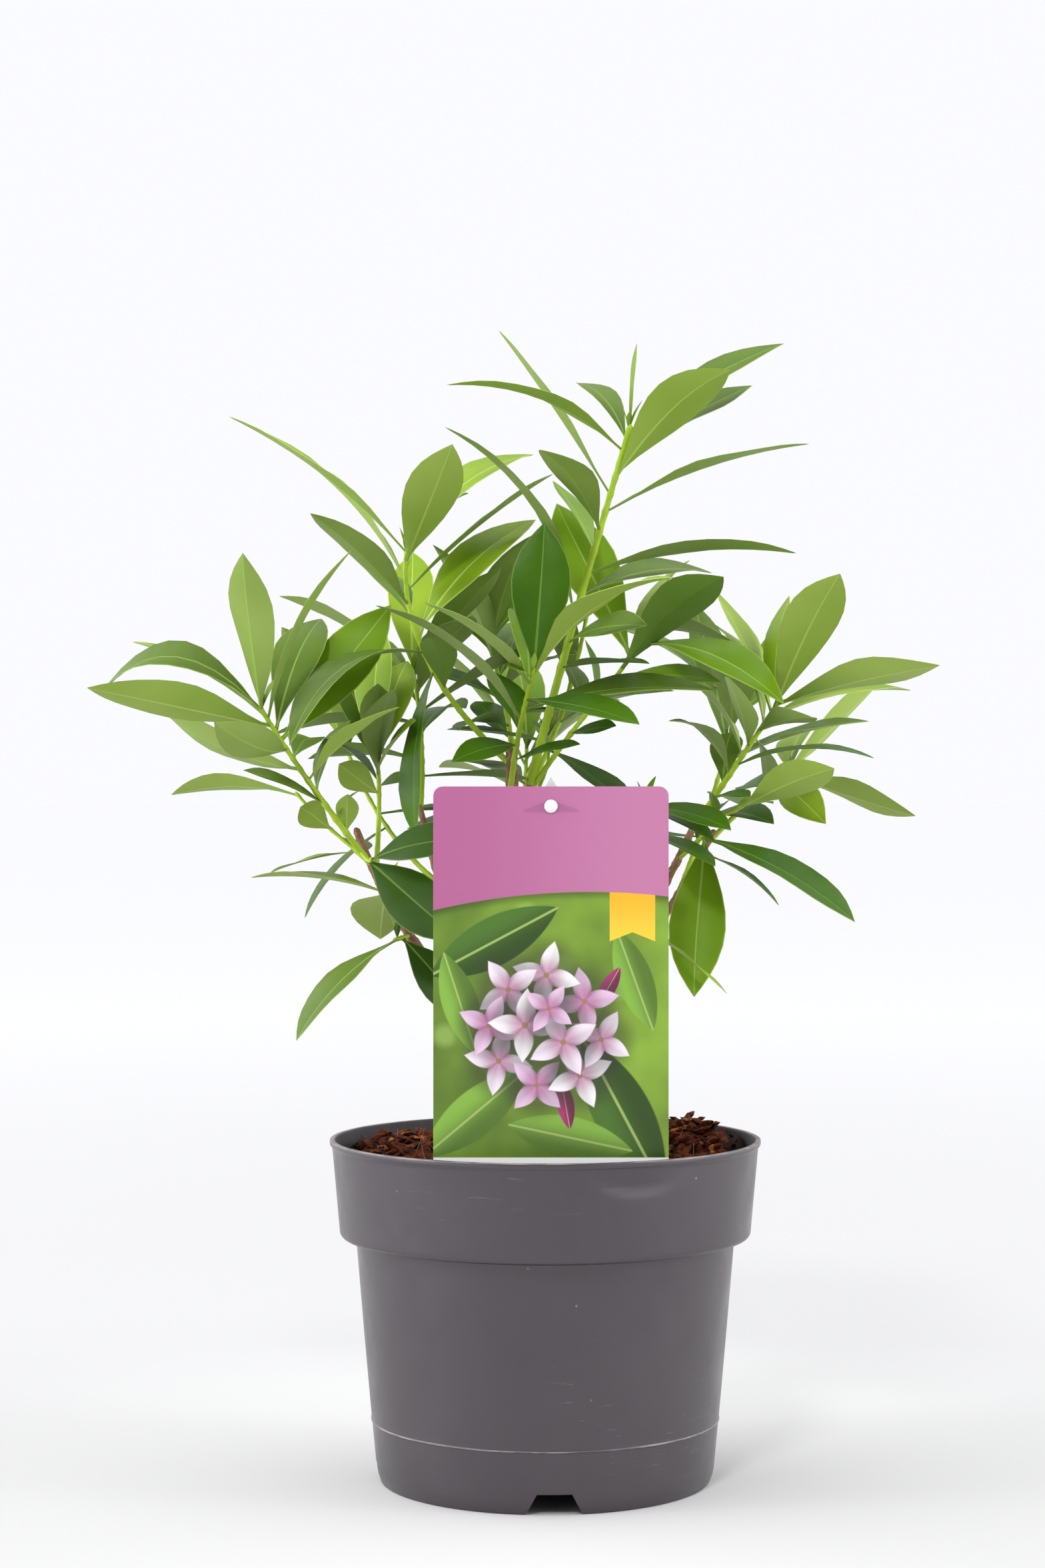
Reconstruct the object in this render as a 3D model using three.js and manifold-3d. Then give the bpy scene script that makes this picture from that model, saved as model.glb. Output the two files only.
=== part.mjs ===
import * as THREE from "three";
import { mergeVertices } from "three/addons/utils/BufferGeometryUtils.js";
import Module from "manifold-3d";

// A daphne shrub in its nursery pot, with its picture label.
// Millimetres, +Z up, the label looks towards -Y. The origin is the middle of the pot's underside.

const wasm = await Module();
wasm.setup();

// ---------------------------------------------------------------- driving dimensions

const GAP = 0.3; // air between neighbouring pieces

const POT = {
  height: 149.7,
  rimRadius: 95,
  bandTopRadius: 93.9,
  bandFootRadius: 90.5,
  bandFoot: 108.9,
  bodyTopRadius: 83.4,
  footRadius: 73.9,
  wall: 1.5,
  floorUnderside: 9.5,
  floor: 1.3,
  padRadius: 19.5,
  facets: 40,
};

const NOTCH = { count: 4, bearing: 272.6, height: 9, footWidth: 24.2, topWidth: 14.8 };
const DRAIN = { count: 8, radius: 4.5, circle: 56 };

const SOIL = {
  level: 138.5,
  rings: [90.2, 76, 60, 44, 28, 13],
  mound: { x: 60, y: 42, spread: 30, rise: 13 },
  trunkSeat: 141,
  trunkSeatRadius: 13,
};

const CARD = { x: 1.9, front: -72.4, width: 98.5, foot: 140, top: 305, thick: 0.8, corner: 4 };
const STAKE = { width: 7, thick: 2.2, foot: 62, point: 12, tip: 309 };
const PIN = { z: 296.7, radius: 1.4, headRadius: 2.8, headThick: 1.3 };

// Limbs run from their foot to their tip on a curve whose middle stands off the chord by the bow.
const TRUNK = { foot: [-6, 0, SOIL.trunkSeat + GAP], tip: [-8, 0, 187], bow: [0.8, 0, 0] };
const TRUNK_RADII = { tip: 4.6, foot: 6, flare: 3.6, flareHeight: 7 };

// Boughs in the order in which they leave the limb named in from, at the share of its length in at.
const BOUGHS = {
  bough_centre: { from: "trunk", at: 0.97, tip: [-15.6, 0, 321], bow: [-2, 3, 0], radii: [3.2, 1.9] },
  bough_left: { from: "trunk", at: 0.9, tip: [-83, -2, 285], bow: [-7, -3, -5], radii: [3, 1.8] },
  bough_right: { from: "trunk", at: 0.86, tip: [66, -6, 289], bow: [5, -2, -3], radii: [2.9, 1.7] },
  bough_back_left: { from: "trunk", at: 0.74, tip: [-58, 46, 300], bow: [-4, 3, -6], radii: [2.7, 1.6] },
  bough_back_right: { from: "trunk", at: 0.68, tip: [76, 30, 284], bow: [3, 4, -5], radii: [2.7, 1.6] },
  bough_back: { from: "trunk", at: 0.55, tip: [-14, 54, 318], bow: [0, 6, -6], radii: [2.7, 1.6] },
  bough_centre_fork: {
    from: "bough_centre",
    at: 0.7,
    tip: [-6.8, 4, 308],
    bow: [2, 1, -1],
    radii: [2, 1.7],
  },
};

// Leaves sit on a shoot at shares of its length that crowd towards its tip, from the share in bare upwards.
// Each leaf is [bearing, rise, length, roll, arch, broad]: the compass bearing of its chord with 0 along +X
// and 90 along +Y, its rise above level, its length, the turn of the blade about its midrib, how far the
// midrib stands off its chord, as a share of the length, where that isn't ARCH, and how many times as broad
// as usual the blade is, where that isn't 1.
const LEAF = { width: 0.31, shortWidth: 0.2, shortLength: 35, fold: 0.2, petiole: 1.1, thin: 170 };
const LEAF_STATIONS = [0.08, 0.3, 0.58, 0.82];
const LEAF_SPACING = 1.6;
const ARCH = 0.06;
const ARCH_SPREAD = 0.07;

const SHOOTS = {
  foliage_leader: {
    from: "bough_centre_fork",
    at: 0.93,
    tip: [37, -8, 462],
    bow: [-2, -1, -5],
    bare: 0.36,
    radii: [2.2, 1.25],
    leaves: [
      [310, 0, 58, 0], [305, 5, 58, 40], [210, 51, 104, -15, 0.12, 0.6], [30, 10, 70, 20],
      [355, 5, 92, -10, 0.06, 0.75], [110, 35, 62, 30], [245, 25, 70, -10], [355, 18, 94, 0, 0.05, 0.65],
      [161, 55, 91, 17, 0.01, 0.65], [316, 32, 78, -30, 0.12], [20, 30, 74, 20],
      [205, 16, 88, 0, 0.1, 0.7], [120, 35, 52, 0, 0.12], [5, 30, 80, 30, 0.05, 0.8],
      [0, 85, 38, -20, 0, 0.6],
    ],
  },
  foliage_centre: {
    from: "bough_centre",
    at: 0.86,
    tip: [-5, -34, 354],
    bow: [-1, 0, 2],
    bare: 0.25,
    radii: [2, 1.2],
    leaves: [
      [320, 10, 38, 30], [230, -10, 44, -40], [105, 30, 56, 10], [205, 35, 84, -10], [350, 5, 84, 20],
      [315, -10, 68, 20], [100, 40, 60, 30], [230, 25, 76, -20], [230, 15, 18, -40],
      [315, 25, 90, 10, 0.1], [67, 76, 67, 20, 0, 1.25],
    ],
  },
  foliage_upper_left: {
    from: "bough_centre",
    at: 0.955,
    tip: [-61, -8, 408],
    bow: [-14, 2, 0],
    bare: 0.35,
    radii: [2.1, 1.2],
    leaves: [
      [262, 38, 38, 0, 0.1, 1.4], [260, -65, 82, 50, 0.06, 0.8], [220, -30, 84, 0, 0.18], [35, 40, 84, 20],
      [115, 25, 62, 10], [230, 30, 72, 0], [25, 34, 92, -15, 0.03, 0.6], [145, 45, 76, 30],
      [60, 35, 66, -20], [290, 35, 78, -10, 0], [35, 35, 84, 10, 0.12], [200, 35, 98, -12, 0.05, 0.65],
    ],
  },
  foliage_left_low: {
    from: "bough_left",
    at: 0.88,
    tip: [-122, -40, 338],
    bow: [-2, -4, 1],
    bare: 0.2,
    radii: [2.1, 1.2],
    leaves: [
      [280, 70, 18, -10, 0.05, 1.4], [50, 50, 20, -20], [215, 20, 44, -30], [70, 40, 50, -30],
      [320, 30, 62, 10], [155, 20, 72, 40, -0.06], [80, 10, 52, 10], [245, 10, 62, 40, -0.1],
      [38, 46, 84, 45, -0.05], [65, 40, 72, 10, 0.12], [210, 10, 86, 30, 0], [320, 55, 86, 34, 0.06, 0.75],
      [150, 25, 78, 0], [165, 5, 76, -30, 0.3], [265, 55, 78, -30, 0],
    ],
    twigs: [
      {
        at: 0.05,
        tip: [-110, 12, 301],
        bow: [-1, 3, -1],
        bare: 0.47,
        leaves: [[235, 25, 24, 59, 0.05, 1.5], [155, 0, 66, 20]],
      },
      {
        at: 0.08,
        tip: [-76, -20, 273],
        bow: [1, -1, -2],
        bare: 0.44,
        leaves: [[317, -30, 68, 60, 0.06, 1.15], [322, 9, 60, 60]],
      },
    ],
  },
  foliage_left_upright: {
    from: "bough_left",
    at: 0.84,
    tip: [-75, 16, 317],
    bow: [1, 4, 5],
    bare: 0.6,
    radii: [1.9, 1.1],
    leaves: [
      [215, 33, 25, 69, 0.05, 1.5], [70, 5, 30, -40], [125, 25, 44, 20], [280, 40, 58, 30],
      [115, 45, 66, 0], [295, 25, 48, 50], [273, 50, 46, 0, 0.05, 1.1], [100, 50, 66, 20],
      [70, 45, 62, 10], [75, 55, 66, -30],
    ],
    twigs: [
      {
        at: 0.06,
        tip: [-84, 7, 276],
        bow: [-1, 2, 0],
        bare: 0.6,
        leaves: [[100, 8, 50, 10], [138, -11, 57, -10, 0.03, 0.5]],
      },
    ],
  },
  foliage_left_behind: {
    from: "bough_left",
    at: 0.76,
    tip: [-71, 8, 258],
    bow: [0, 1, 0],
    bare: 0.6,
    radii: [1.5, 1.2],
    leaves: [[95, -22, 62, 0, 0.05, 1.5], [160, 5, 66, 0, 0.05]],
  },
  foliage_left_under: {
    from: "bough_left",
    at: 0.6,
    tip: [-65, -11, 238],
    bow: [0, -1, 0],
    bare: 0.6,
    radii: [1.5, 1.2],
    leaves: [[325, -42, 54, 50, 0.06, 1.2], [219, -38, 68, 0]],
  },
  foliage_mid_right: {
    from: "bough_centre_fork",
    at: 0.8,
    tip: [43, 6, 368],
    bow: [-6, 0, -6],
    bare: 0.49,
    radii: [1.9, 1.1],
    leaves: [
      [305, 5, 34, 40], [105, 35, 50, 30], [105, 55, 34, 50], [340, 0, 52, 30], [310, 30, 76, -30, 0.12],
      [130, 55, 88, -30], [60, 40, 66, -30], [320, -20, 82, 20, 0.11],
    ],
  },
  foliage_small_centre: {
    from: "bough_centre_fork",
    at: 0.55,
    tip: [0, 22, 326],
    bow: [5, 5, 3],
    bare: 0.8,
    radii: [1.4, 0.9],
    leaves: [[310, -25, 64, 0], [250, 25, 22, -50], [75, 25, 26, -30], [85, 30, 24, -50]],
  },
  foliage_right: {
    from: "bough_right",
    at: 0.97,
    tip: [101, -22, 341],
    bow: [0, 0, 0],
    bare: 0.27,
    radii: [2, 1.2],
    leaves: [
      [295, 0, 32, 20], [80, 30, 48, 0], [225, 30, 46, -10, 0.16], [320, 2, 72, 0, 0.08, 0.7],
      [115, 35, 60, 50], [255, 30, 58, -40], [80, -25, 50, 50], [290, 5, 54, -20], [115, 45, 64, 30],
      [25, 10, 74, 10], [120, 50, 76, 30], [295, 45, 78, -20], [85, 45, 62, -50], [320, 10, 84, -20],
    ],
    twigs: [
      {
        at: 0.1,
        tip: [86, -12, 296],
        bow: [1, 1, -1],
        bare: 0.32,
        leaves: [[260, 40, 16, -40], [55, 5, 34, 10], [305, 15, 64, -40]],
      },
    ],
  },
  foliage_right_inner: {
    from: "bough_right",
    at: 0.7,
    tip: [43, -14, 296],
    bow: [-3, 4, 6],
    bare: 0.6,
    radii: [1.5, 1.1],
    leaves: [[305, -15, 54, 0], [310, -15, 48, 0], [310, -10, 56, 20]],
  },
  foliage_right_low: {
    from: "bough_right",
    at: 0.86,
    tip: [70, -10, 284],
    bow: [0, -1, 0],
    bare: 0.4,
    radii: [1.5, 1.2],
    leaves: [
      [305, -20, 66, -20, 0.06, 0.5], [70, 20, 50, -20], [325, -25, 84, 10, 0.05],
      [258, -66, 76, -12, 0, 1.05],
    ],
  },
  foliage_right_under: {
    from: "bough_right",
    at: 0.5,
    tip: [43, -29, 244],
    bow: [0, -2, -2],
    bare: 0.7,
    radii: [1.5, 1.2],
    leaves: [[60, -10, 55, 20], [312, -28, 56, -25, 0.02, 0.45]],
  },
  foliage_back_right: {
    from: "bough_back_right",
    at: 0.96,
    tip: [113, 62, 311],
    bow: [2, 0, 4],
    bare: 0.7,
    radii: [1.8, 1.1],
    leaves: [
      [100, 0, 50, -30], [290, -20, 56, 40], [40, 35, 82, -50, 0], [315, -14, 77, -40, 0, 0.9],
      [75, 20, 70, -30],
    ],
  },
};

// Shoots at the back grow by one rule: each leaf turns on by the golden angle, and rises more
// towards the tip.
const GOLDEN_TURN = 137.5;
const BACK_LEAF = { lowRise: -8, topRise: 52, lowLength: 54, topLength: 76, roll: 40 };
const BACK_SHOOTS = {
  foliage_back_left: {
    from: "bough_back_left", at: 0.96, tip: [-60, 54, 357], bow: [2, 0, 0], bare: 0.25, radii: [1.9, 1.1],
    count: 12, start: 20,
  },
  foliage_back_left_side: {
    from: "bough_back_left", at: 0.72, tip: [-92, 78, 322], bow: [-3, 2, -5], bare: 0.4, radii: [1.8, 1.1],
    count: 10, start: 75,
  },
  foliage_back_centre: {
    from: "bough_back", at: 0.96, tip: [-26, 66, 372], bow: [2, 2, 0], bare: 0.25, radii: [1.9, 1.1],
    count: 12, start: 110,
  },
  foliage_back_high: {
    from: "bough_back", at: 0.86, tip: [22, 62, 398], bow: [4, 2, -6], bare: 0.35, radii: [2, 1.1],
    count: 12, start: 200,
  },
  foliage_back_low: {
    from: "bough_back", at: 0.7, tip: [-8, 112, 322], bow: [0, 5, -6], bare: 0.35, radii: [1.9, 1.1],
    count: 11, start: 300,
  },
  foliage_back_right_side: {
    from: "bough_back_right", at: 0.78, tip: [92, 84, 346], bow: [0, 4, -6], bare: 0.35, radii: [1.9, 1.1],
    count: 11, start: 160,
  },
};

// Openings between the shoots, through which the crown is clear from front to back for a viewer at FRONT_EYE:
// [left, right, foot, top] where they cross the plane of the trunk.
const FRONT_EYE = [-10, -1369, 306];
const OPENINGS = [
  [22, 68, 302, 325],
  [42, 70, 325, 342],
  [20, 36, 355, 369],
  [-52, -18, 318, 327],
  [83, 95, 373, 405],
  [-94, -78, 284, 318],
  [-40, 40, 424, 520],
  [40, 110, 400, 520],
];

// A leaf that would touch something is turned and lifted by the first of these that clears it:
// rings of eight directions, each ring a step wider than the last, in degrees.
const NUDGE_RINGS = [4, 8, 12, 17, 23, 30, 42];
const NUDGES = [[0, 0]];
for (const ring of NUDGE_RINGS) {
  for (let i = 0; i < 8; i++) {
    const way = (i * Math.PI) / 4;
    NUDGES.push([ring * Math.cos(way), ring * Math.sin(way)]);
  }
}
const LEAF_CLEARANCE = 0.45;
const BLADE_FROM = 0.24;

const COLOURS = {
  pot: 0x504b51,
  soil: 0x5a3524,
  bark: 0x8a6a50,
  leaf: 0x6c9c3e,
  card: 0xb56ba0,
  stake: 0xe6e8ea,
};

// ---------------------------------------------------------------- working with solids

const vector = (xyz) => new THREE.Vector3(...xyz);
const radians = THREE.MathUtils.degToRad;

function solidOf(geometry) {
  geometry.deleteAttribute("normal");
  geometry.deleteAttribute("uv");
  const merged = mergeVertices(geometry, 1e-4);
  return new wasm.Manifold(
    new wasm.Mesh({
      numProp: 3,
      vertProperties: new Float32Array(merged.attributes.position.array),
      triVerts: new Uint32Array(merged.index.array),
    }),
  );
}

// The largest body of a cut solid, without loose scraps and sealed hollows.
function mainBody(solid) {
  const bodies = solid.decompose();
  return bodies.reduce((largest, body) => (body.volume() > largest.volume() ? body : largest));
}

function meshOf(name, solid, material) {
  const { vertProperties, triVerts } = solid.getMesh();
  const geometry = new THREE.BufferGeometry();
  geometry.setAttribute("position", new THREE.BufferAttribute(new Float32Array(vertProperties), 3));
  geometry.setIndex(new THREE.BufferAttribute(new Uint32Array(triVerts), 1));
  geometry.computeVertexNormals();
  const mesh = new THREE.Mesh(geometry, material);
  mesh.name = name;
  return mesh;
}

function finish(color, roughness) {
  return new THREE.MeshStandardMaterial({ color, roughness, metalness: 0 });
}

// A closed body through a row of rings, each counter-clockwise about the way the row runs.
// All rings have the same number of points, but one of a single point closes the body to a tip.
function loft(rings) {
  const places = rings.flat().flatMap((point) => point.toArray());
  const faces = [];
  let start = 0;
  const fan = (first, count, facesBack) => {
    for (let i = 1; i < count - 1; i++) {
      const edge = [first + i, first + i + 1];
      faces.push(first, ...(facesBack ? edge.reverse() : edge));
    }
  };
  fan(0, rings[0].length, true);
  rings.slice(0, -1).forEach((ring, index) => {
    const nextStart = start + ring.length;
    const nextLength = rings[index + 1].length;
    const sides = Math.max(ring.length, nextLength);
    for (let i = 0; i < sides; i++) {
      const j = (i + 1) % sides;
      const low = (k) => start + (ring.length > 1 ? k : 0);
      const high = (k) => nextStart + (nextLength > 1 ? k : 0);
      if (ring.length > 1) faces.push(low(i), low(j), high(j));
      if (nextLength > 1) faces.push(low(i), high(j), high(i));
    }
    start = nextStart;
  });
  fan(start, rings.at(-1).length, false);
  const geometry = new THREE.BufferGeometry();
  geometry.setAttribute("position", new THREE.BufferAttribute(new Float32Array(places), 3));
  geometry.setIndex(faces);
  return solidOf(geometry);
}

function horizontalRing(radius, count, heightAt) {
  return Array.from({ length: count }, (_, i) => {
    const turn = (i / count) * 2 * Math.PI;
    const [x, y] = [radius * Math.cos(turn), radius * Math.sin(turn)];
    return new THREE.Vector3(x, y, heightAt(x, y));
  });
}

// A LatheGeometry turns about +Y, so it is stood up to turn about +Z.
function turned(profile, facets) {
  const points = profile.map(([radius, z]) => new THREE.Vector2(radius, z));
  const geometry = new THREE.LatheGeometry(points, facets);
  geometry.rotateX(Math.PI / 2);
  return solidOf(geometry);
}

// ---------------------------------------------------------------- pot and soil

function potProfile() {
  const floorTop = POT.floorUnderside + POT.floor;
  const bandInside = POT.bandFootRadius - POT.wall;
  const bodyInside = POT.bodyTopRadius - POT.wall;
  return [
    [0, 0],
    [POT.padRadius, 0],
    [POT.padRadius + 2.5, POT.floorUnderside],
    [70.4, POT.floorUnderside],
    [71.6, 8],
    [71.2, 0],
    [POT.footRadius - 1.2, 0],
    [POT.footRadius, 1.2],
    [74.3, 4.7],
    [79.2, 57],
    [POT.bodyTopRadius, 106.2],
    [POT.bandFootRadius - 1.4, 107.2],
    [POT.bandFootRadius, POT.bandFoot],
    [POT.bandTopRadius, 146.8],
    [POT.rimRadius, 147.8],
    [POT.rimRadius, POT.height - 0.6],
    [POT.rimRadius - 0.7, POT.height],
    [POT.rimRadius - 2, POT.height],
    [POT.rimRadius - 2.6, POT.height - 1.2],
    [bandInside, 110.6],
    [bodyInside, 108.4],
    [72.6, floorTop + 1.5],
    [71.4, floorTop],
    [POT.padRadius + 1, floorTop],
    [POT.padRadius - 1.5, 1.5],
    [0, 1.5],
  ];
}

function trapezoidCutter() {
  const below = 1;
  const [foot, top] = [NOTCH.footWidth / 2, NOTCH.topWidth / 2];
  const flare = ((foot - top) / NOTCH.height) * below;
  const outline = new THREE.Shape([
    new THREE.Vector2(-foot - flare, -below),
    new THREE.Vector2(foot + flare, -below),
    new THREE.Vector2(top, NOTCH.height),
    new THREE.Vector2(-top, NOTCH.height),
  ]);
  const geometry = new THREE.ExtrudeGeometry(outline, { depth: 24, bevelEnabled: false });
  geometry.rotateX(Math.PI / 2);
  geometry.translate(0, -58, 0);
  return geometry;
}

function makePot() {
  let pot = turned(potProfile(), POT.facets);
  for (let i = 0; i < NOTCH.count; i++) {
    const turn = radians(NOTCH.bearing - 270 + (i * 360) / NOTCH.count);
    pot = pot.subtract(solidOf(trapezoidCutter().rotateZ(turn)));
  }
  for (let i = 0; i < DRAIN.count; i++) {
    const turn = radians(NOTCH.bearing + ((i + 0.5) * 360) / DRAIN.count);
    const hole = new THREE.CylinderGeometry(DRAIN.radius, DRAIN.radius, 6, 12).rotateX(Math.PI / 2);
    hole.translate(DRAIN.circle * Math.cos(turn), DRAIN.circle * Math.sin(turn), POT.floorUnderside + 0.5);
    pot = pot.subtract(solidOf(hole));
  }
  return pot;
}

function soilHeight(x, y) {
  const { mound } = SOIL;
  const away = ((x - mound.x) ** 2 + (y - mound.y) ** 2) / (2 * mound.spread ** 2);
  const crown = 3.2 * Math.exp(-(x ** 2 + y ** 2) / (2 * 26 ** 2));
  const bumps = 1.1 * Math.sin(0.19 * x + 1) * Math.cos(0.16 * y) + 0.7 * Math.sin(0.31 * y - 0.2 * x);
  return SOIL.level + mound.rise * Math.exp(-away) + crown + bumps;
}

function makeSoil(trunkSeatSolid, pockets) {
  const floorTop = POT.floorUnderside + POT.floor;
  const flat = (z) => () => z;
  const bodyInside = POT.bodyTopRadius - POT.wall - 0.4;
  const rings = [
    [new THREE.Vector3(0, 0, 1.5 + GAP)],
    horizontalRing(POT.padRadius - 2, POT.facets, flat(1.5 + GAP)),
    horizontalRing(POT.padRadius + 0.6, POT.facets, flat(floorTop + GAP)),
    horizontalRing(71, POT.facets, flat(floorTop + GAP)),
    horizontalRing(72.2, POT.facets, flat(floorTop + 1.8)),
    horizontalRing(bodyInside, POT.facets, flat(108.6)),
    horizontalRing(POT.bandFootRadius - POT.wall - 0.4, POT.facets, flat(111)),
    ...SOIL.rings.map((radius) => horizontalRing(radius, POT.facets, soilHeight)),
    [new THREE.Vector3(0, 0, soilHeight(0, 0))],
  ];
  let soil = loft(rings).subtract(trunkSeatSolid);
  for (const pocket of pockets) soil = soil.subtract(pocket);
  return mainBody(soil);
}

// The space over the flat seat on which the trunk's foot stands.
function trunkSeat() {
  const seat = new THREE.CylinderGeometry(SOIL.trunkSeatRadius, SOIL.trunkSeatRadius, 20, 16);
  seat.rotateX(Math.PI / 2);
  seat.translate(TRUNK.foot[0], TRUNK.foot[1], SOIL.trunkSeat + 10);
  return solidOf(seat);
}

// ---------------------------------------------------------------- label

// An upright plate from its outline in X and Z, with its front face at y.
function plate(outline, front, thick) {
  const options = { depth: thick, bevelEnabled: false, curveSegments: 5 };
  const geometry = new THREE.ExtrudeGeometry(outline, options);
  geometry.rotateX(Math.PI / 2);
  geometry.translate(0, front + thick, 0);
  return geometry;
}

function cardOutline(grow) {
  const left = CARD.x - CARD.width / 2 - grow;
  const right = CARD.x + CARD.width / 2 + grow;
  const top = CARD.top + grow;
  const outline = new THREE.Shape();
  outline.moveTo(left, CARD.foot - grow);
  outline.lineTo(right, CARD.foot - grow);
  outline.lineTo(right, top - CARD.corner);
  outline.absarc(right - CARD.corner, top - CARD.corner, CARD.corner, 0, Math.PI / 2);
  outline.lineTo(left + CARD.corner, top);
  outline.absarc(left + CARD.corner, top - CARD.corner, CARD.corner, Math.PI / 2, Math.PI);
  return outline;
}

function makeCard() {
  const outline = cardOutline(0);
  const hole = new THREE.Path().absarc(CARD.x, PIN.z, PIN.radius + GAP, 0, 2 * Math.PI, true);
  outline.holes.push(hole);
  return solidOf(plate(outline, CARD.front, CARD.thick));
}

function makeCardSpace(grow) {
  return solidOf(plate(cardOutline(grow), CARD.front - grow, CARD.thick + 2 * grow));
}

function makeStake(grow) {
  const half = STAKE.width / 2 + grow;
  const outline = new THREE.Shape([
    new THREE.Vector2(CARD.x, STAKE.foot - grow),
    new THREE.Vector2(CARD.x + half, STAKE.foot + STAKE.point),
    new THREE.Vector2(CARD.x + half, STAKE.tip - STAKE.point / 2),
    new THREE.Vector2(CARD.x, STAKE.tip + grow),
    new THREE.Vector2(CARD.x - half, STAKE.tip - STAKE.point / 2),
    new THREE.Vector2(CARD.x - half, STAKE.foot + STAKE.point),
  ]);
  const front = CARD.front + CARD.thick + GAP - grow;
  return solidOf(plate(outline, front, STAKE.thick + 2 * grow));
}

// The round pin stands out of the stake, runs through the card's hole, and holds it with its head.
function makePin() {
  const headBack = CARD.thick + 2 * GAP;
  const profile = [
    [0, -1],
    [PIN.radius, -1],
    [PIN.radius, headBack],
    [PIN.headRadius, headBack],
    [PIN.headRadius, headBack + PIN.headThick * 0.5],
    [PIN.headRadius * 0.7, headBack + PIN.headThick],
    [0, headBack + PIN.headThick],
  ];
  const points = profile.map(([radius, along]) => new THREE.Vector2(radius, along));
  const geometry = new THREE.LatheGeometry(points, 16);
  geometry.rotateX(Math.PI);
  geometry.translate(CARD.x, CARD.front + CARD.thick + GAP, PIN.z);
  return solidOf(geometry);
}

// ---------------------------------------------------------------- limbs

function bentCurve(foot, tip, bow) {
  const middle = foot.clone().add(tip).multiplyScalar(0.5);
  return new THREE.QuadraticBezierCurve3(foot, middle.addScaledVector(vector(bow), 2), tip);
}

// A tapering round limb, which may run on past its tip. grow widens it all round and past both ends.
function limb(curve, radiusAt, { sides = 7, steps = 8, grow = 0, runOn = 0 } = {}) {
  const { tangents, normals, binormals } = curve.computeFrenetFrames(steps);
  const rings = tangents.map((tangent, step) => {
    const centre = curve.getPointAt(step / steps);
    const past = step === 0 ? -grow : step === steps ? grow + runOn : 0;
    centre.addScaledVector(tangent, past);
    const radius = radiusAt(step / steps) + grow;
    return Array.from({ length: sides }, (_, side) => {
      const turn = (side / sides) * 2 * Math.PI;
      const point = centre.clone().addScaledVector(normals[step], radius * Math.cos(turn));
      return point.addScaledVector(binormals[step], radius * Math.sin(turn));
    });
  });
  return loft(rings);
}

const taper = ([foot, tip]) => (share) => THREE.MathUtils.lerp(foot, tip, share);

// The trunk's foot is cut flat at the soil, so its lowest ring lies level.
function makeTrunk(curve, grow) {
  const { tip, foot, flare, flareHeight } = TRUNK_RADII;
  const length = curve.getLength();
  const steps = [0, 0.06, 0.14, 0.28, 0.5, 0.75, 1];
  const rings = steps.map((share) => {
    const centre = curve.getPointAt(share);
    const lift = share === 0 ? -grow : share === 1 ? grow : 0;
    const widened = flare * Math.exp((-share * length) / flareHeight);
    const radius = THREE.MathUtils.lerp(foot, tip, share) + widened + grow;
    return horizontalRing(radius, 10, () => 0).map((point) => point.add(centre).setZ(centre.z + lift));
  });
  return loft(rings);
}

// ---------------------------------------------------------------- leaves

// The share of the widest half width at each share of the length: narrow foot, widest past the middle,
// sharp tip.
function bladeProfile(share) {
  const [footPower, tipPower] = [1.5, 1.05];
  const shape = (s) => s ** footPower * (1 - s) ** tipPower;
  return shape(share) / shape(footPower / (footPower + tipPower));
}

const spread = (index) => (index * 0.618034) % 1;

// Runs from the leaf's foot at an angle, with the blade folded upwards along its midrib like a shallow V.
function leaf(foot, [bearing, rise, length, roll, arch, broad], { grow = 0, from = 0 } = {}) {
  const [b, r, turn] = [bearing, rise, roll].map(radians);
  const along = new THREE.Vector3(Math.cos(r) * Math.cos(b), Math.cos(r) * Math.sin(b), Math.sin(r));
  const upright = new THREE.Vector3(-Math.sin(r) * Math.cos(b), -Math.sin(r) * Math.sin(b), Math.cos(r));
  const level = new THREE.Vector3(-Math.sin(b), Math.cos(b), 0);
  const normal = upright.clone().multiplyScalar(Math.cos(turn)).addScaledVector(level, -Math.sin(turn));
  const across = level.clone().multiplyScalar(Math.cos(turn)).addScaledVector(upright, Math.sin(turn));
  const short = Math.max(0, 1 - length / LEAF.shortLength);
  const halfWidth = (broad * length * (LEAF.width + LEAF.shortWidth * short)) / 2;
  const midrib = (share) =>
    foot
      .clone()
      .addScaledVector(along, length * share)
      .addScaledVector(normal, 4 * share * (1 - share) * arch * length);
  const ring = (share) => {
    const centre = midrib(share);
    const half = Math.max(halfWidth * bladeProfile(share), LEAF.petiole * (1 - share)) + grow;
    const thick = length / LEAF.thin + 0.5 * (1 - share) ** 3 + grow;
    const edge = (side) =>
      centre.clone().addScaledVector(across, side * half).addScaledVector(normal, LEAF.fold * half);
    const face = (side) => centre.clone().addScaledVector(normal, side * thick);
    return [edge(1), face(1), edge(-1), face(-1)];
  };
  const stations = LEAF_STATIONS.filter((share) => share >= from);
  const start = from > 0 ? [] : [[midrib(0)]];
  return loft([...start, ...stations.map(ring), [midrib(1)]]);
}

function leafPlaces(curve, shoot) {
  const last = shoot.leaves.length - 1;
  return shoot.leaves.map((_, index) => {
    const share = last > 0 ? index / last : 1;
    const crowded = 1 - (1 - share) ** LEAF_SPACING;
    return curve.getPoint(shoot.bare + (1 - shoot.bare) * crowded);
  });
}

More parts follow.
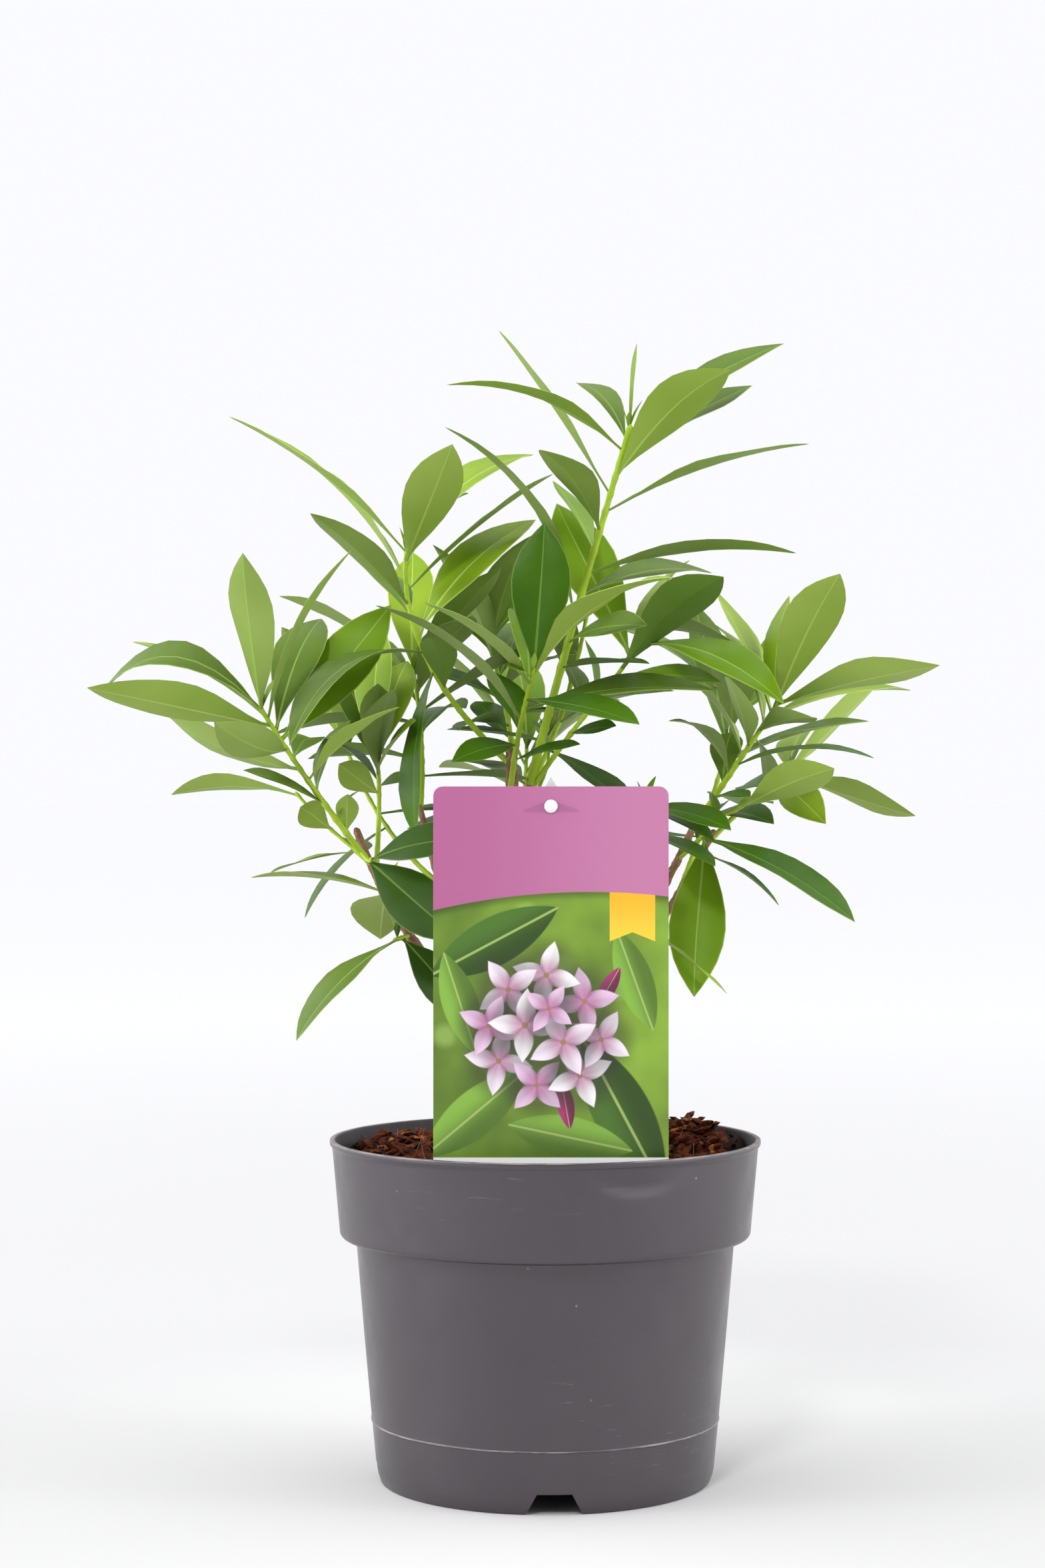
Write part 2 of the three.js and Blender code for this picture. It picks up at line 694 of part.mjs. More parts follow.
function ruleLeaves({ count, start }) {
  return Array.from({ length: count }, (_, index) => {
    const share = index / (count - 1);
    return [
      (start + index * GOLDEN_TURN) % 360,
      THREE.MathUtils.lerp(BACK_LEAF.lowRise, BACK_LEAF.topRise, share) + 16 * (spread(index + 3) - 0.5),
      THREE.MathUtils.lerp(BACK_LEAF.lowLength, BACK_LEAF.topLength, Math.sin(share * 2.2)),
      BACK_LEAF.roll * (spread(index + 7) - 0.5),
    ];
  });
}

// ---------------------------------------------------------------- growing the plant

const placed = []; // every solid that a leaf has to stay clear of, with its owner and the box round it

function place(owner, solid, blade) {
  placed.push({ owner, solid, blade, box: solid.boundingBox() });
}

// Whole leaves stay clear of everything else. Leaves of one mass only keep their blades apart.
function touches(owner, whole, blade) {
  const box = whole.boundingBox();
  const apart = (other) => [0, 1, 2].some((k) => box.min[k] > other.max[k] || box.max[k] < other.min[k]);
  const meet = (a, b) => b && !a.intersect(b).isEmpty();
  return placed
    .filter((other) => !apart(other.box))
    .some((other) => (other.owner === owner ? meet(blade, other.blade) : meet(whole, other.solid)));
}

function growLeaf(owner, foot, [bearing, rise, length, roll, arch, broad = 1], index) {
  const archOf = arch ?? ARCH + ARCH_SPREAD * (spread(index) - 0.5);
  const roomy = { grow: LEAF_CLEARANCE };
  for (const [turn, lift] of NUDGES) {
    const shape = [bearing + turn, rise + lift, length, roll, archOf, broad];
    const room = leaf(foot, shape, roomy);
    const bladeRoom = leaf(foot, shape, { ...roomy, from: BLADE_FROM });
    if (touches(owner, room, bladeRoom)) continue;
    const grown = leaf(foot, shape);
    place(owner, grown, leaf(foot, shape, { from: BLADE_FROM }));
    return grown;
  }
  return null;
}

// The wedge of air behind one opening, which widens away from the viewer.
function opening([left, right, foot, top]) {
  const eye = vector(FRONT_EYE);
  const corners = [[left, top], [right, top], [right, foot], [left, foot]];
  const ring = (y) =>
    corners.map(([x, z]) => {
      const share = (y - eye.y) / -eye.y;
      return new THREE.Vector3(eye.x + (x - eye.x) * share, y, eye.z + (z - eye.z) * share);
    });
  return loft([ring(30), ring(220)]);
}

function growLimbs() {
  const curves = { trunk: bentCurve(vector(TRUNK.foot), vector(TRUNK.tip), TRUNK.bow) };
  const limbs = { trunk: makeTrunk(curves.trunk, 0) };
  const spaces = { trunk: makeTrunk(curves.trunk, GAP) };
  for (const [name, bough] of Object.entries(BOUGHS)) {
    const foot = curves[bough.from].getPoint(bough.at);
    curves[name] = bentCurve(foot, vector(bough.tip), bough.bow);
    const whole = limb(curves[name], taper(bough.radii));
    const others = Object.values(spaces).reduce((sum, space) => sum.add(space));
    limbs[name] = mainBody(whole.subtract(others));
    spaces[name] = limb(curves[name], taper(bough.radii), { grow: GAP });
  }
  return { curves, limbs, spaces };
}

// The bare stems of one mass: its main shoot, and the twigs that leave it.
function growStems(shoot, curves) {
  const options = { sides: 5, steps: 6, runOn: 2 };
  const main = bentCurve(curves[shoot.from].getPoint(shoot.at), vector(shoot.tip), shoot.bow);
  const parts = [{ curve: main, shoot, radii: shoot.radii }];
  for (const twig of shoot.twigs ?? []) {
    const curve = bentCurve(main.getPoint(twig.at), vector(twig.tip), twig.bow);
    parts.push({ curve, shoot: twig, radii: [1.3, 1] });
  }
  const solids = parts.map(({ curve, radii }) => limb(curve, taper(radii), options));
  const spaces = parts.map(({ curve, radii }) => limb(curve, taper(radii), { ...options, grow: GAP }));
  const join = (all) => all.reduce((sum, solid) => sum.add(solid));
  return { parts, solid: join(solids), space: join(spaces) };
}

const { curves, limbs, spaces } = growLimbs();
const allLimbs = Object.values(spaces).reduce((sum, space) => sum.add(space));
const pot = makePot();
const card = makeCard();
const stake = mainBody(makeStake(0).add(makePin()));
const soil = makeSoil(trunkSeat(), [makeStake(GAP), makeCardSpace(GAP)]);
for (const solid of [...Object.values(limbs), pot, soil, makeCardSpace(0.2), stake]) place("", solid);

const shoots = { ...SHOOTS };
for (const [name, shoot] of Object.entries(BACK_SHOOTS)) {
  shoots[name] = { ...shoot, leaves: ruleLeaves(shoot) };
}

const masses = {};
let stemSpaces = allLimbs;
for (const [name, shoot] of Object.entries(shoots)) {
  const stems = growStems(shoot, curves);
  const solid = mainBody(stems.solid.subtract(stemSpaces));
  stemSpaces = stemSpaces.add(stems.space);
  masses[name] = { parts: stems.parts, solid };
}
for (const [name, { solid }] of Object.entries(masses)) place(name, solid);

for (const [name, mass] of Object.entries(masses)) {
  if (name === Object.keys(BACK_SHOOTS)[0]) {
    for (const sides of OPENINGS) place("", opening(sides));
  }
  for (const { curve, shoot } of mass.parts) {
    const places = leafPlaces(curve, shoot);
    shoot.leaves.forEach((values, index) => {
      const grown = growLeaf(name, places[index], values, index);
      if (grown) mass.solid = mass.solid.add(grown);
    });
  }
  mass.solid = mainBody(mass.solid);
}

// ---------------------------------------------------------------- the plant and its pot

const bark = finish(COLOURS.bark, 0.85);
const foliage = finish(COLOURS.leaf, 0.45);

const daphne = new THREE.Group();
daphne.name = "daphne_in_pot";
daphne.add(meshOf("pot", pot, finish(COLOURS.pot, 0.55)));
daphne.add(meshOf("potting_soil", soil, finish(COLOURS.soil, 1)));
daphne.add(meshOf("label_card", card, finish(COLOURS.card, 0.3)));
daphne.add(meshOf("label_stake", stake, finish(COLOURS.stake, 0.25)));
for (const [name, solid] of Object.entries(limbs)) daphne.add(meshOf(name, solid, bark));
for (const [name, { solid }] of Object.entries(masses)) daphne.add(meshOf(name, solid, foliage));

export default daphne;
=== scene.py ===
# %% [markdown]
# # A daphne shrub in its nursery pot
# A young evergreen shrub stands in a grey plastic pot, with a picture label on a clear stake.
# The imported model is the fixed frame: its solids say where each thing is and how big it may be.
# The surfaces that are seen are built round that frame, in metres, with +Z up and the label facing -Y.

import math

import bmesh
import bpy
from mathutils import Matrix, Vector, kdtree, noise


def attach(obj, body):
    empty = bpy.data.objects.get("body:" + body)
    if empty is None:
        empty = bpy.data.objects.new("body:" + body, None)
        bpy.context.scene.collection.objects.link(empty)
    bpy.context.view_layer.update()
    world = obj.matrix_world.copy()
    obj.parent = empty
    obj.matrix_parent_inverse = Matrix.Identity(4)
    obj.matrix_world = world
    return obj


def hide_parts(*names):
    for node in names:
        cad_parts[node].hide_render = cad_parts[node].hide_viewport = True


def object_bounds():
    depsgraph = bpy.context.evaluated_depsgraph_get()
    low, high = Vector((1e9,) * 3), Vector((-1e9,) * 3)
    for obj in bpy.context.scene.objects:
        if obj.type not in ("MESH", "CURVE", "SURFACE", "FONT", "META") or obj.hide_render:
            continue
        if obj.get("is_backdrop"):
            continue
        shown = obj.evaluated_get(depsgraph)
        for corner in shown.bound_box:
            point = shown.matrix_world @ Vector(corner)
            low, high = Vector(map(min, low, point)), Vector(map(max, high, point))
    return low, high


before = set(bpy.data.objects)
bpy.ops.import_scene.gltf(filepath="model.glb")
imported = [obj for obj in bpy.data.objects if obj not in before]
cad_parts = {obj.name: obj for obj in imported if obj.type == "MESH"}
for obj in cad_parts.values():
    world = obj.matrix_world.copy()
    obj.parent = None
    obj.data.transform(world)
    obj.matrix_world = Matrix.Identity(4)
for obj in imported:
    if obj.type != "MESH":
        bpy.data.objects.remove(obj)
CAD_LOW, CAD_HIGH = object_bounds()
MM = 0.001
print("frame:", len(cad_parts), "nodes,", [round(v, 4) for v in CAD_HIGH - CAD_LOW], "m")

# %% [markdown]
# ## The studio
# The plant is seen level, from well back with a long lens, so that upright lines stay upright. The world
# shows the camera nearly white paper. Its own light comes from all sides and fills the shadows between the
# leaves, so the world is the largest lamp here. Two lamps stand low at the sides: they brighten both edges
# of the pot, and their light skims the leaves. A third hangs over the camera's side.

# %% Camera
FOCAL_SHARE = 4650 / 2353
camera_data = bpy.data.cameras.new("camera")
camera_data.sensor_width = 36
camera_data.lens = 36 * FOCAL_SHARE
camera_data.clip_start = 0.1
camera = bpy.data.objects.new("camera", camera_data)
camera.location = (-0.010, -1.369, 0.306)
camera.rotation_euler = (math.pi / 2, 0, 0)
bpy.context.scene.collection.objects.link(camera)
bpy.context.scene.camera = camera
bpy.context.scene.view_settings.view_transform = "Standard"
print("camera lens:", round(camera_data.lens, 2), "mm")


# %% Helpers for nodes
def node(tree, kind, values=None, **settings):
    """A node with its settings, and with its inputs set to plain values or linked to other nodes' outputs."""
    made = tree.nodes.new(kind)
    for key, value in settings.items():
        setattr(made, key, value)
    for socket, value in (values or {}).items():
        if isinstance(value, bpy.types.NodeSocket):
            tree.links.new(value, made.inputs[socket])
        else:
            made.inputs[socket].default_value = value
    return made


def maths(tree, operation, *values):
    """The output of one Math node on one or two numbers or sockets."""
    return node(tree, "ShaderNodeMath", dict(enumerate(values)), operation=operation).outputs[0]


def plus(tree, first, second):
    return maths(tree, "ADD", first, second)


def minus(tree, first, second):
    return maths(tree, "SUBTRACT", first, second)


def times(tree, first, second):
    return maths(tree, "MULTIPLY", first, second)


def vectors(tree, operation, *values, output=0):
    made = node(tree, "ShaderNodeVectorMath", dict(enumerate(values)), operation=operation)
    return made.outputs[output]


def scaled(tree, vector, share):
    """A vector times a number."""
    return node(tree, "ShaderNodeVectorMath", {0: vector, "Scale": share}, operation="SCALE").outputs[0]


def between(tree, value, low, high, at_low=0.0, at_high=1.0):
    """The value carried from the span low..high to at_low..at_high, eased at both ends."""
    spans = {"Value": value, "From Min": low, "From Max": high, "To Min": at_low, "To Max": at_high}
    return node(tree, "ShaderNodeMapRange", spans, interpolation_type="SMOOTHSTEP").outputs["Result"]


def cloudy(tree, place, scale, detail, roughness=0.5):
    """Soft noise from 0 to 1."""
    look = {"Vector": place, "Scale": scale, "Detail": detail, "Roughness": roughness}
    return node(tree, "ShaderNodeTexNoise", look).outputs["Fac"]


def mix_colours(tree, share, first, second):
    return node(tree, "ShaderNodeMix", {0: share, 6: first, 7: second}, data_type="RGBA").outputs[2]


def new_object(name, data):
    data.name = name
    made = bpy.data.objects.new(name, data)
    bpy.context.scene.collection.objects.link(made)
    return made


def mesh_of(name, verts, faces, edges=()):
    mesh = bpy.data.meshes.new(name)
    mesh.from_pydata(verts, edges, faces)
    return mesh


print("helpers for nodes are ready")


# %% White world
# The camera sees even white paper. What lights the plant is brighter behind it, beside it and overhead
# than on the camera's side, so that glossy leaves and plastic keep their colour.
world = bpy.data.worlds.new("studio_white")
world.use_nodes = True
bpy.context.scene.world = world
sky = world.node_tree
sky.nodes.clear()
outlook = node(sky, "ShaderNodeTexCoord").outputs["Generated"]
direction = node(sky, "ShaderNodeSeparateXYZ", {0: outlook}).outputs
PAPER = (0.965, 0.968, 1.0, 1)
backdrop = between(sky, direction["Y"], -0.8, 0.0, 0.14, 0.85)
beside = between(sky, maths(sky, "ABSOLUTE", direction["X"]), 0.3, 0.85, 0.0, 2.4)
leftward = minus(sky, 1.0, times(sky, direction["X"], 0.15))
overhead = between(sky, direction["Z"], 0.45, 0.95, 0.0, 0.75)
walls = times(sky, plus(sky, backdrop, beside), leftward)
room_light = node(sky, "ShaderNodeBackground", {"Strength": plus(sky, walls, overhead)})
seen_paper = node(sky, "ShaderNodeBackground", {"Color": PAPER})
seen = node(sky, "ShaderNodeLightPath").outputs["Is Camera Ray"]
both = node(sky, "ShaderNodeMixShader", {0: seen, 1: room_light.outputs[0], 2: seen_paper.outputs[0]})
node(sky, "ShaderNodeOutputWorld", {"Surface": both.outputs[0]})
print("world:", world.name)


# %% Floor and lamps
PLANT_MIDDLE = Vector((0, 0, 0.3))
FLOOR_RADIUS, FLOOR_SIDES = 40, 96


def add_lamp(name, place, size, power):
    data = bpy.data.lights.new(name, "AREA")
    data.shape = "RECTANGLE"
    data.size, data.size_y = size
    data.energy = power
    lamp = new_object(name, data)
    lamp.location = place
    lamp.rotation_euler = (Vector(place) - PLANT_MIDDLE).to_track_quat("Z", "Y").to_euler()


turns = [2 * math.pi * side / FLOOR_SIDES for side in range(FLOOR_SIDES)]
ring = [(FLOOR_RADIUS * math.cos(turn), FLOOR_RADIUS * math.sin(turn), 0) for turn in turns]
floor = new_object("floor", mesh_of("floor", ring, [list(range(FLOOR_SIDES))]))
floor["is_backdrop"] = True
add_lamp("left_lamp", (-2.8, -0.7, 0.85), (0.7, 1.0), 22)
add_lamp("right_lamp", (2.8, -0.7, 0.85), (0.7, 1.0), 20)
add_lamp("front_lamp", (-0.4, -1.7, 1.9), (0.35, 0.35), 17)
print("floor and lamps are up")

# %% [markdown]
# ## Effects that several materials share
# Soil, bark, leaves and plastic all drift a little between two tones, and all carry a fine grain that
# breaks up their shine. Each effect could be rebuilt in every material, but then a change would have
# to be made in many places. A shader node group holds it once, and each material places it with its
# own values. The shader itself stays in the material.


# %% A group for two drifting tones, and one for grain
def shader_group(name, inputs, outputs):
    """An empty shader node group with inputs given as {label: value} and outputs as {label: kind}."""
    tree = bpy.data.node_groups.new(name, "ShaderNodeTree")
    for label, value in inputs.items():
        kind = "Float" if isinstance(value, float) else {3: "Vector", 4: "Color"}[len(value)]
        socket = tree.interface.new_socket(label, in_out="INPUT", socket_type="NodeSocket" + kind)
        socket.default_value = value
    for label, kind in outputs.items():
        tree.interface.new_socket(label, in_out="OUTPUT", socket_type="NodeSocket" + kind)
    return tree, node(tree, "NodeGroupInput").outputs, node(tree, "NodeGroupOutput").inputs


def make_drift():
    first, second = (0.5, 0.5, 0.5, 1), (0.4, 0.4, 0.4, 1)
    tree, given, out = shader_group(
        "drifting_tones",
        {"Position": (0, 0, 0), "First": first, "Second": second, "Scale": 40.0, "Contrast": 0.5},
        {"Color": "Color"},
    )
    half = times(tree, given["Contrast"], 0.3)
    tones = cloudy(tree, given["Position"], given["Scale"], 3.0, 0.55)
    mask = between(tree, tones, minus(tree, 0.5, half), plus(tree, 0.5, half))
    tree.links.new(mix_colours(tree, mask, given["First"], given["Second"]), out["Color"])
    return tree


def make_grain():
    tree, given, out = shader_group(
        "fine_grain",
        {
            "Position": (0, 0, 0),
            "Scale": 900.0,
            "Stretch": (1, 1, 1),
            "Roughness Low": 0.4,
            "Roughness High": 0.5,
        },
        {"Height": "Float", "Roughness": "Float"},
    )
    place = vectors(tree, "MULTIPLY", given["Position"], given["Stretch"])
    fine = cloudy(tree, place, given["Scale"], 2.0)
    broad = cloudy(tree, place, times(tree, given["Scale"], 0.04), 2.0)
    blend = plus(tree, times(tree, fine, 0.4), times(tree, broad, 0.6))
    rough = between(tree, blend, 0.35, 0.65, given["Roughness Low"], given["Roughness High"])
    tree.links.new(fine, out["Height"])
    tree.links.new(rough, out["Roughness"])
    return tree


DRIFT, GRAIN = make_drift(), make_grain()
print("groups:", DRIFT.name, GRAIN.name)


# %% A material from its shader values
def new_material(name, **values):
    """A material with one Principled shader. Values that are the same all over go straight on its sockets."""
    material = bpy.data.materials.new(name)
    material.use_nodes = True
    tree = material.node_tree
    shader = next(n for n in tree.nodes if n.type == "BSDF_PRINCIPLED")
    for key, value in values.items():
        shader.inputs[key.replace("_", " ")].default_value = value
    return material, tree, shader.inputs


def object_place(tree):
    return node(tree, "ShaderNodeTexCoord").outputs["Object"]


def add_group(tree, group, place, **values):
    made = node(tree, "ShaderNodeGroup", node_tree=group)
    tree.links.new(place, made.inputs["Position"])
    for key, value in values.items():
        made.inputs[key.replace("_", " ")].default_value = value
    return made.outputs


def toned_material(name, first, second, scale, contrast, grain, rough, stretch=(1, 1, 1), bump=None, **more):
    """Two drifting tones under a fine grain: the base of most finishes. bump is strength and distance."""
    material, tree, shader = new_material(name, **more)
    place = object_place(tree)
    tones = {"First": (*first, 1), "Second": (*second, 1), "Scale": scale, "Contrast": contrast}
    tones = add_group(tree, DRIFT, place, **tones)
    low, high = rough
    grains = {"Scale": grain, "Stretch": stretch, "Roughness_Low": low, "Roughness_High": high}
    grains = add_group(tree, GRAIN, place, **grains)
    tree.links.new(tones["Color"], shader["Base Color"])
    tree.links.new(grains["Roughness"], shader["Roughness"])
    if bump:
        relief = {"Height": grains["Height"], "Strength": bump[0], "Distance": bump[1]}
        tree.links.new(node(tree, "ShaderNodeBump", relief).outputs["Normal"], shader["Normal"])
    return material, tree, shader, place


def lay_over(tree, shader, share, colour):
    """Lays a colour, three numbers or a socket, over the base colour as far as share says."""
    under = shader["Base Color"].links[0].from_socket
    over = (*colour, 1) if isinstance(colour, tuple) else colour
    tree.links.new(mix_colours(tree, share, under, over), shader["Base Color"])


# The paper's tones near, round and far from the pot. The darker ring is painted shade against the lamps.
FLOOR_NEAR, FLOOR_MIDDLE, FLOOR_FAR = (0.615, 0.615, 0.62), (0.548, 0.548, 0.56), (0.665, 0.667, 0.69)


def make_floor_paper():
    """Paper with painted shade in a ring round the pot, where the lamps are strongest, and palest far off."""
    material, tree, shader, place = toned_material(
        "floor_paper", FLOOR_NEAR, FLOOR_NEAR, 1, 1.0, 60, (0.8, 0.95), Specular_IOR_Level=0.1
    )
    far = vectors(tree, "LENGTH", place, output=1)
    lay_over(tree, shader, between(tree, far, 0.1, 0.4), FLOOR_MIDDLE)
    lay_over(tree, shader, between(tree, far, 0.2, 3.0), FLOOR_FAR)
    return material


floor.data.materials.append(make_floor_paper())
print("floor:", floor.data.materials[0].name)


# %% Helpers for geometry trees
def geometry_tree(name, **inputs):
    """An empty Geometry Nodes tree with a Geometry input and more named inputs, given as Label=kind."""
    tree = bpy.data.node_groups.new(name, "GeometryNodeTree")
    for label, kind in {"Geometry": "Geometry", **inputs}.items():
        tree.interface.new_socket(label.replace("_", " "), in_out="INPUT", socket_type="NodeSocket" + kind)
    tree.interface.new_socket("Geometry", in_out="OUTPUT", socket_type="NodeSocketGeometry")
    return tree, node(tree, "NodeGroupInput").outputs, node(tree, "NodeGroupOutput").inputs["Geometry"]


def run_tree(source, tree, name, **values):
    """Puts the tree on an object as a modifier, and keeps what it makes as a plain mesh object of its own."""
    modifier = source.modifiers.new("tree", "NODES")
    modifier.node_group = tree
    for item in tree.interface.items_tree:
        label = item.name.replace(" ", "_")
        if item.in_out == "INPUT" and label in values:
            modifier[item.identifier] = values[label]
    mesh = baked(source)
    source.modifiers.remove(modifier)
    return new_object(name, mesh)


def baked(source):
    """The mesh that an object's modifiers or curve make."""
    return bpy.data.meshes.new_from_object(source.evaluated_get(bpy.context.evaluated_depsgraph_get()))


def remove(*objects):
    for gone in objects:
        bpy.data.objects.remove(gone)


def first_of(tree, kind, values=None, **settings):
    """The first output of a new node."""
    return node(tree, kind, values, **settings).outputs[0]


def named(tree, name, kind="FLOAT"):
    """The output of a Named Attribute node."""
    return node(tree, "GeometryNodeInputNamedAttribute", {"Name": name}, data_type=kind).outputs["Attribute"]


def shape_of(tree, pattern):
    """The geometry of an object that a tree is given."""
    return node(tree, "GeometryNodeObjectInfo", {"Object": pattern}).outputs["Geometry"]


def copies_of(tree, shape, points, euler, **more):
    """A copy of the shape on each point, turned by the angles in euler."""
    turn = first_of(tree, "FunctionNodeEulerToRotation", {"Euler": euler})
    return first_of(
        tree, "GeometryNodeInstanceOnPoints", {"Points": points, "Instance": shape, "Rotation": turn, **more}
    )


def moved(tree, geometry, offset):
    return first_of(tree, "GeometryNodeSetPosition", {"Geometry": geometry, "Offset": offset})


def pushed_out(tree, geometry, depth):
    """The geometry with its skin moved out along its normals."""
    normal = node(tree, "GeometryNodeInputNormal").outputs["Normal"]
    return moved(tree, geometry, scaled(tree, normal, depth))


def finish_tree(tree, geometry, out, material):
    """How a tree with one material ends: real geometry in place of instances, then the material."""
    real = first_of(tree, "GeometryNodeRealizeInstances", {"Geometry": geometry})
    tree.links.new(first_of(tree, "GeometryNodeSetMaterial", {"Geometry": real, "Material": material}), out)


def stand_for(piece, slot, *nodes):
    """Ties a finished piece to the frame's root body, and hides the solids that it stands for."""
    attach(piece, "root")
    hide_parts(*nodes)
    print(piece.name, "has", len(piece.data.polygons), "faces and stands for", len(nodes), "nodes")


print("helpers for geometry are ready")

# %% [markdown]
# ## The pot
# A nursery pot is blown or moulded from one skin of grey plastic: a plain tapering body, a straight
# band round the top that lets pots stack, a rolled lip, and a raised pad under the floor. A curve and
# the Screw modifier would turn it, but the lip and the ridge need places of their own, so the section
# is a list of radius and height, and code turns it. Each corner of the section is eased by a short
# bend, as moulded plastic has no true corners.

# %% Turn the pot's section
# Radius, height and how far the corner is eased, in millimetres, up the outside and down the inside.
POT_SECTION = [
    (0, 0, 0), (19.5, 0, 0.8), (22, 9.5, 1), (70.4, 9.5, 1), (71.6, 8, 0.8), (71.2, 0, 0.6), (72.7, 0, 1.0),
    (74.3, 4.7, 2), (76.36, 26.5, 0.2), (76.95, 27.0, 0.15), (76.5, 27.4, 0.2), (79.2, 57, 8),
    (83.4, 106.4, 1.0), (89.3, 107.2, 0.9), (90.5, 108.7, 0.7), (93.9, 146.6, 0.8), (95, 147.7, 0.6),
    (95, 149.7, 0.45), (92.4, 149.7, 0.7), (92.3, 147.0, 0.8), (89, 110.6, 1), (81.9, 108.4, 1),
    (72.6, 12.3, 1), (71.4, 10.8, 0.6), (20.5, 10.8, 0.8), (18, 1.5, 0.8), (0, 1.5, 0),
]
POT_SIDES = 144
BEND_STEPS = 4
LONGEST_SIDE = 2.4


def eased(section):
    """The section with each corner swapped for a short bend between its two sides."""
    points = []
    for index, (radius, height, ease) in enumerate(section):
        corner = Vector((radius, height))
        if ease == 0:
            points.append(corner)
            continue
        before, after = (Vector(section[index + step][:2]) for step in (-1, 1))
        start = corner + (before - corner).normalized() * min(ease, (before - corner).length * 0.45)
        while points and (start - points[-1]).length > LONGEST_SIDE:
            points.append(points[-1] + (start - points[-1]).normalized() * LONGEST_SIDE)
        end = corner + (after - corner).normalized() * min(ease, (after - corner).length * 0.45)
        for step in range(BEND_STEPS + 1):
            t = step / BEND_STEPS
            points.append(start * (1 - t) ** 2 + corner * 2 * t * (1 - t) + end * t * t)
    return points


def turned_mesh(name, points, sides, dent=None):
    """A closed mesh turned round +Z from points of radius and height. Both ends lie on the axis."""
    verts, rings = [], []
    for radius, height in points:
        if radius < 1e-6:
            rings.append([len(verts)])
            verts.append(Vector((0, 0, height)) * MM)
            continue
        ring = []
        for side in range(sides):
            turn = 2 * math.pi * side / sides
            grown = radius + (dent(turn, height) if dent else 0)
            ring.append(len(verts))
            verts.append(Vector((grown * math.cos(turn), grown * math.sin(turn), height)) * MM)
        rings.append(ring)
    faces = []
    for low, high in zip(rings, rings[1:]):
        for side in range(sides):
            after = (side + 1) % sides
            if len(low) == 1:
                faces.append((low[0], high[after], high[side]))
            elif len(high) == 1:
                faces.append((low[side], low[after], high[0]))
            else:
                faces.append((low[side], low[after], high[after], high[side]))
    return mesh_of(name, verts, faces)


def pot_dent(turn, height):
    """Handling has buckled the band at the right of the front: a hollow with a crisp lower edge."""
    if height < 112:
        return 0
    aside = (math.degrees(turn) - 290) / 11
    lower_edge = 135 + 3.4 * (aside - 0.35) ** 2
    above = min(1, max(0, (height - lower_edge) / 2.4))
    return -1.7 * math.exp(-(aside**2)) * above * math.exp(-(((height - 138) / 7) ** 2))


pot_blank = new_object("pot_blank", turned_mesh("pot_blank", eased(POT_SECTION), POT_SIDES, pot_dent))
print("pot section:", len(eased(POT_SECTION)), "points")

# %% [markdown]
# The foot has four notches and eight drain holes. They repeat round the axis, so a tree of nodes sets
# one cutter on each point of a circle, turned to face outwards, and takes them all away in one cut.


# %% Cut the notches and the drain holes
DRILL_SIDES, DRILL_DEPTH = 24, 0.006


def make_cutting_tree():
    tree, given, out = geometry_tree(
        "cut_round_the_foot",
        Notches="Int",
        Notch_Cutter="Object",
        Notch_Turn="Float",
        Holes="Int",
        Hole_Circle="Float",
        Hole_Radius="Float",
        Hole_Height="Float",
        Material="Material",
    )

    def along_z(amount):
        return node(tree, "ShaderNodeCombineXYZ", {"Z": amount}).outputs[0]

    def ring_of(cutter, count, radius, turn, height):
        """One cutter on each of the count points of a circle, facing outwards."""
        circle = first_of(tree, "GeometryNodeMeshCircle", {"Vertices": count, "Radius": radius})
        step = maths(tree, "DIVIDE", 2 * math.pi, count)
        angle = times(tree, first_of(tree, "GeometryNodeInputIndex"), step)
        copies = copies_of(tree, cutter, circle, along_z(angle))
        shift = {"Geometry": copies, "Translation": along_z(height), "Rotation": along_z(turn)}
        in_place = first_of(tree, "GeometryNodeTransform", shift)
        return first_of(tree, "GeometryNodeRealizeInstances", {"Geometry": in_place})

    notch = shape_of(tree, given["Notch Cutter"])
    notches = ring_of(notch, given["Notches"], 1e-5, given["Notch Turn"], 0.0)
    drill_size = {"Vertices": DRILL_SIDES, "Radius": given["Hole Radius"], "Depth": DRILL_DEPTH}
    drill = node(tree, "GeometryNodeMeshCylinder", drill_size).outputs["Mesh"]
    half_step = plus(tree, given["Notch Turn"], maths(tree, "DIVIDE", math.pi, given["Holes"]))
    holes = ring_of(drill, given["Holes"], given["Hole Circle"], half_step, given["Hole Height"])
    blank = {"Mesh 1": given["Geometry"]}
    cut = node(tree, "GeometryNodeMeshBoolean", blank, operation="DIFFERENCE", solver="EXACT")
    tree.links.new(notches, cut.inputs["Mesh 2"])
    tree.links.new(holes, cut.inputs["Mesh 2"])
    finish_tree(tree, cut.outputs[0], out, given["Material"])
    return tree


NOTCH_TURN = math.radians(272.6)
NOTCH_HEIGHT, NOTCH_FOOT, NOTCH_TOP = 9, 24.2, 14.8
NOTCH_REACH = (58, 82)


def notch_cutter():
    """A wedge with a sloping side on each hand, which reaches out along +X through the pot's foot ring."""
    flare = (NOTCH_FOOT - NOTCH_TOP) / 2 / NOTCH_HEIGHT
    foot, top = NOTCH_FOOT / 2 + flare, NOTCH_TOP / 2
    outline = [(-foot, -1), (foot, -1), (top, NOTCH_HEIGHT), (-top, NOTCH_HEIGHT)]
    verts = [Vector((x, y, z)) * MM for x in NOTCH_REACH for y, z in outline]
    sides = [(i, (i + 1) % 4, 4 + (i + 1) % 4, 4 + i) for i in range(4)]
    return new_object("notch", mesh_of("notch", verts, [(3, 2, 1, 0), (4, 5, 6, 7), *sides]))


cutting_tree, cutter = make_cutting_tree(), notch_cutter()
print("cutting tree is ready")
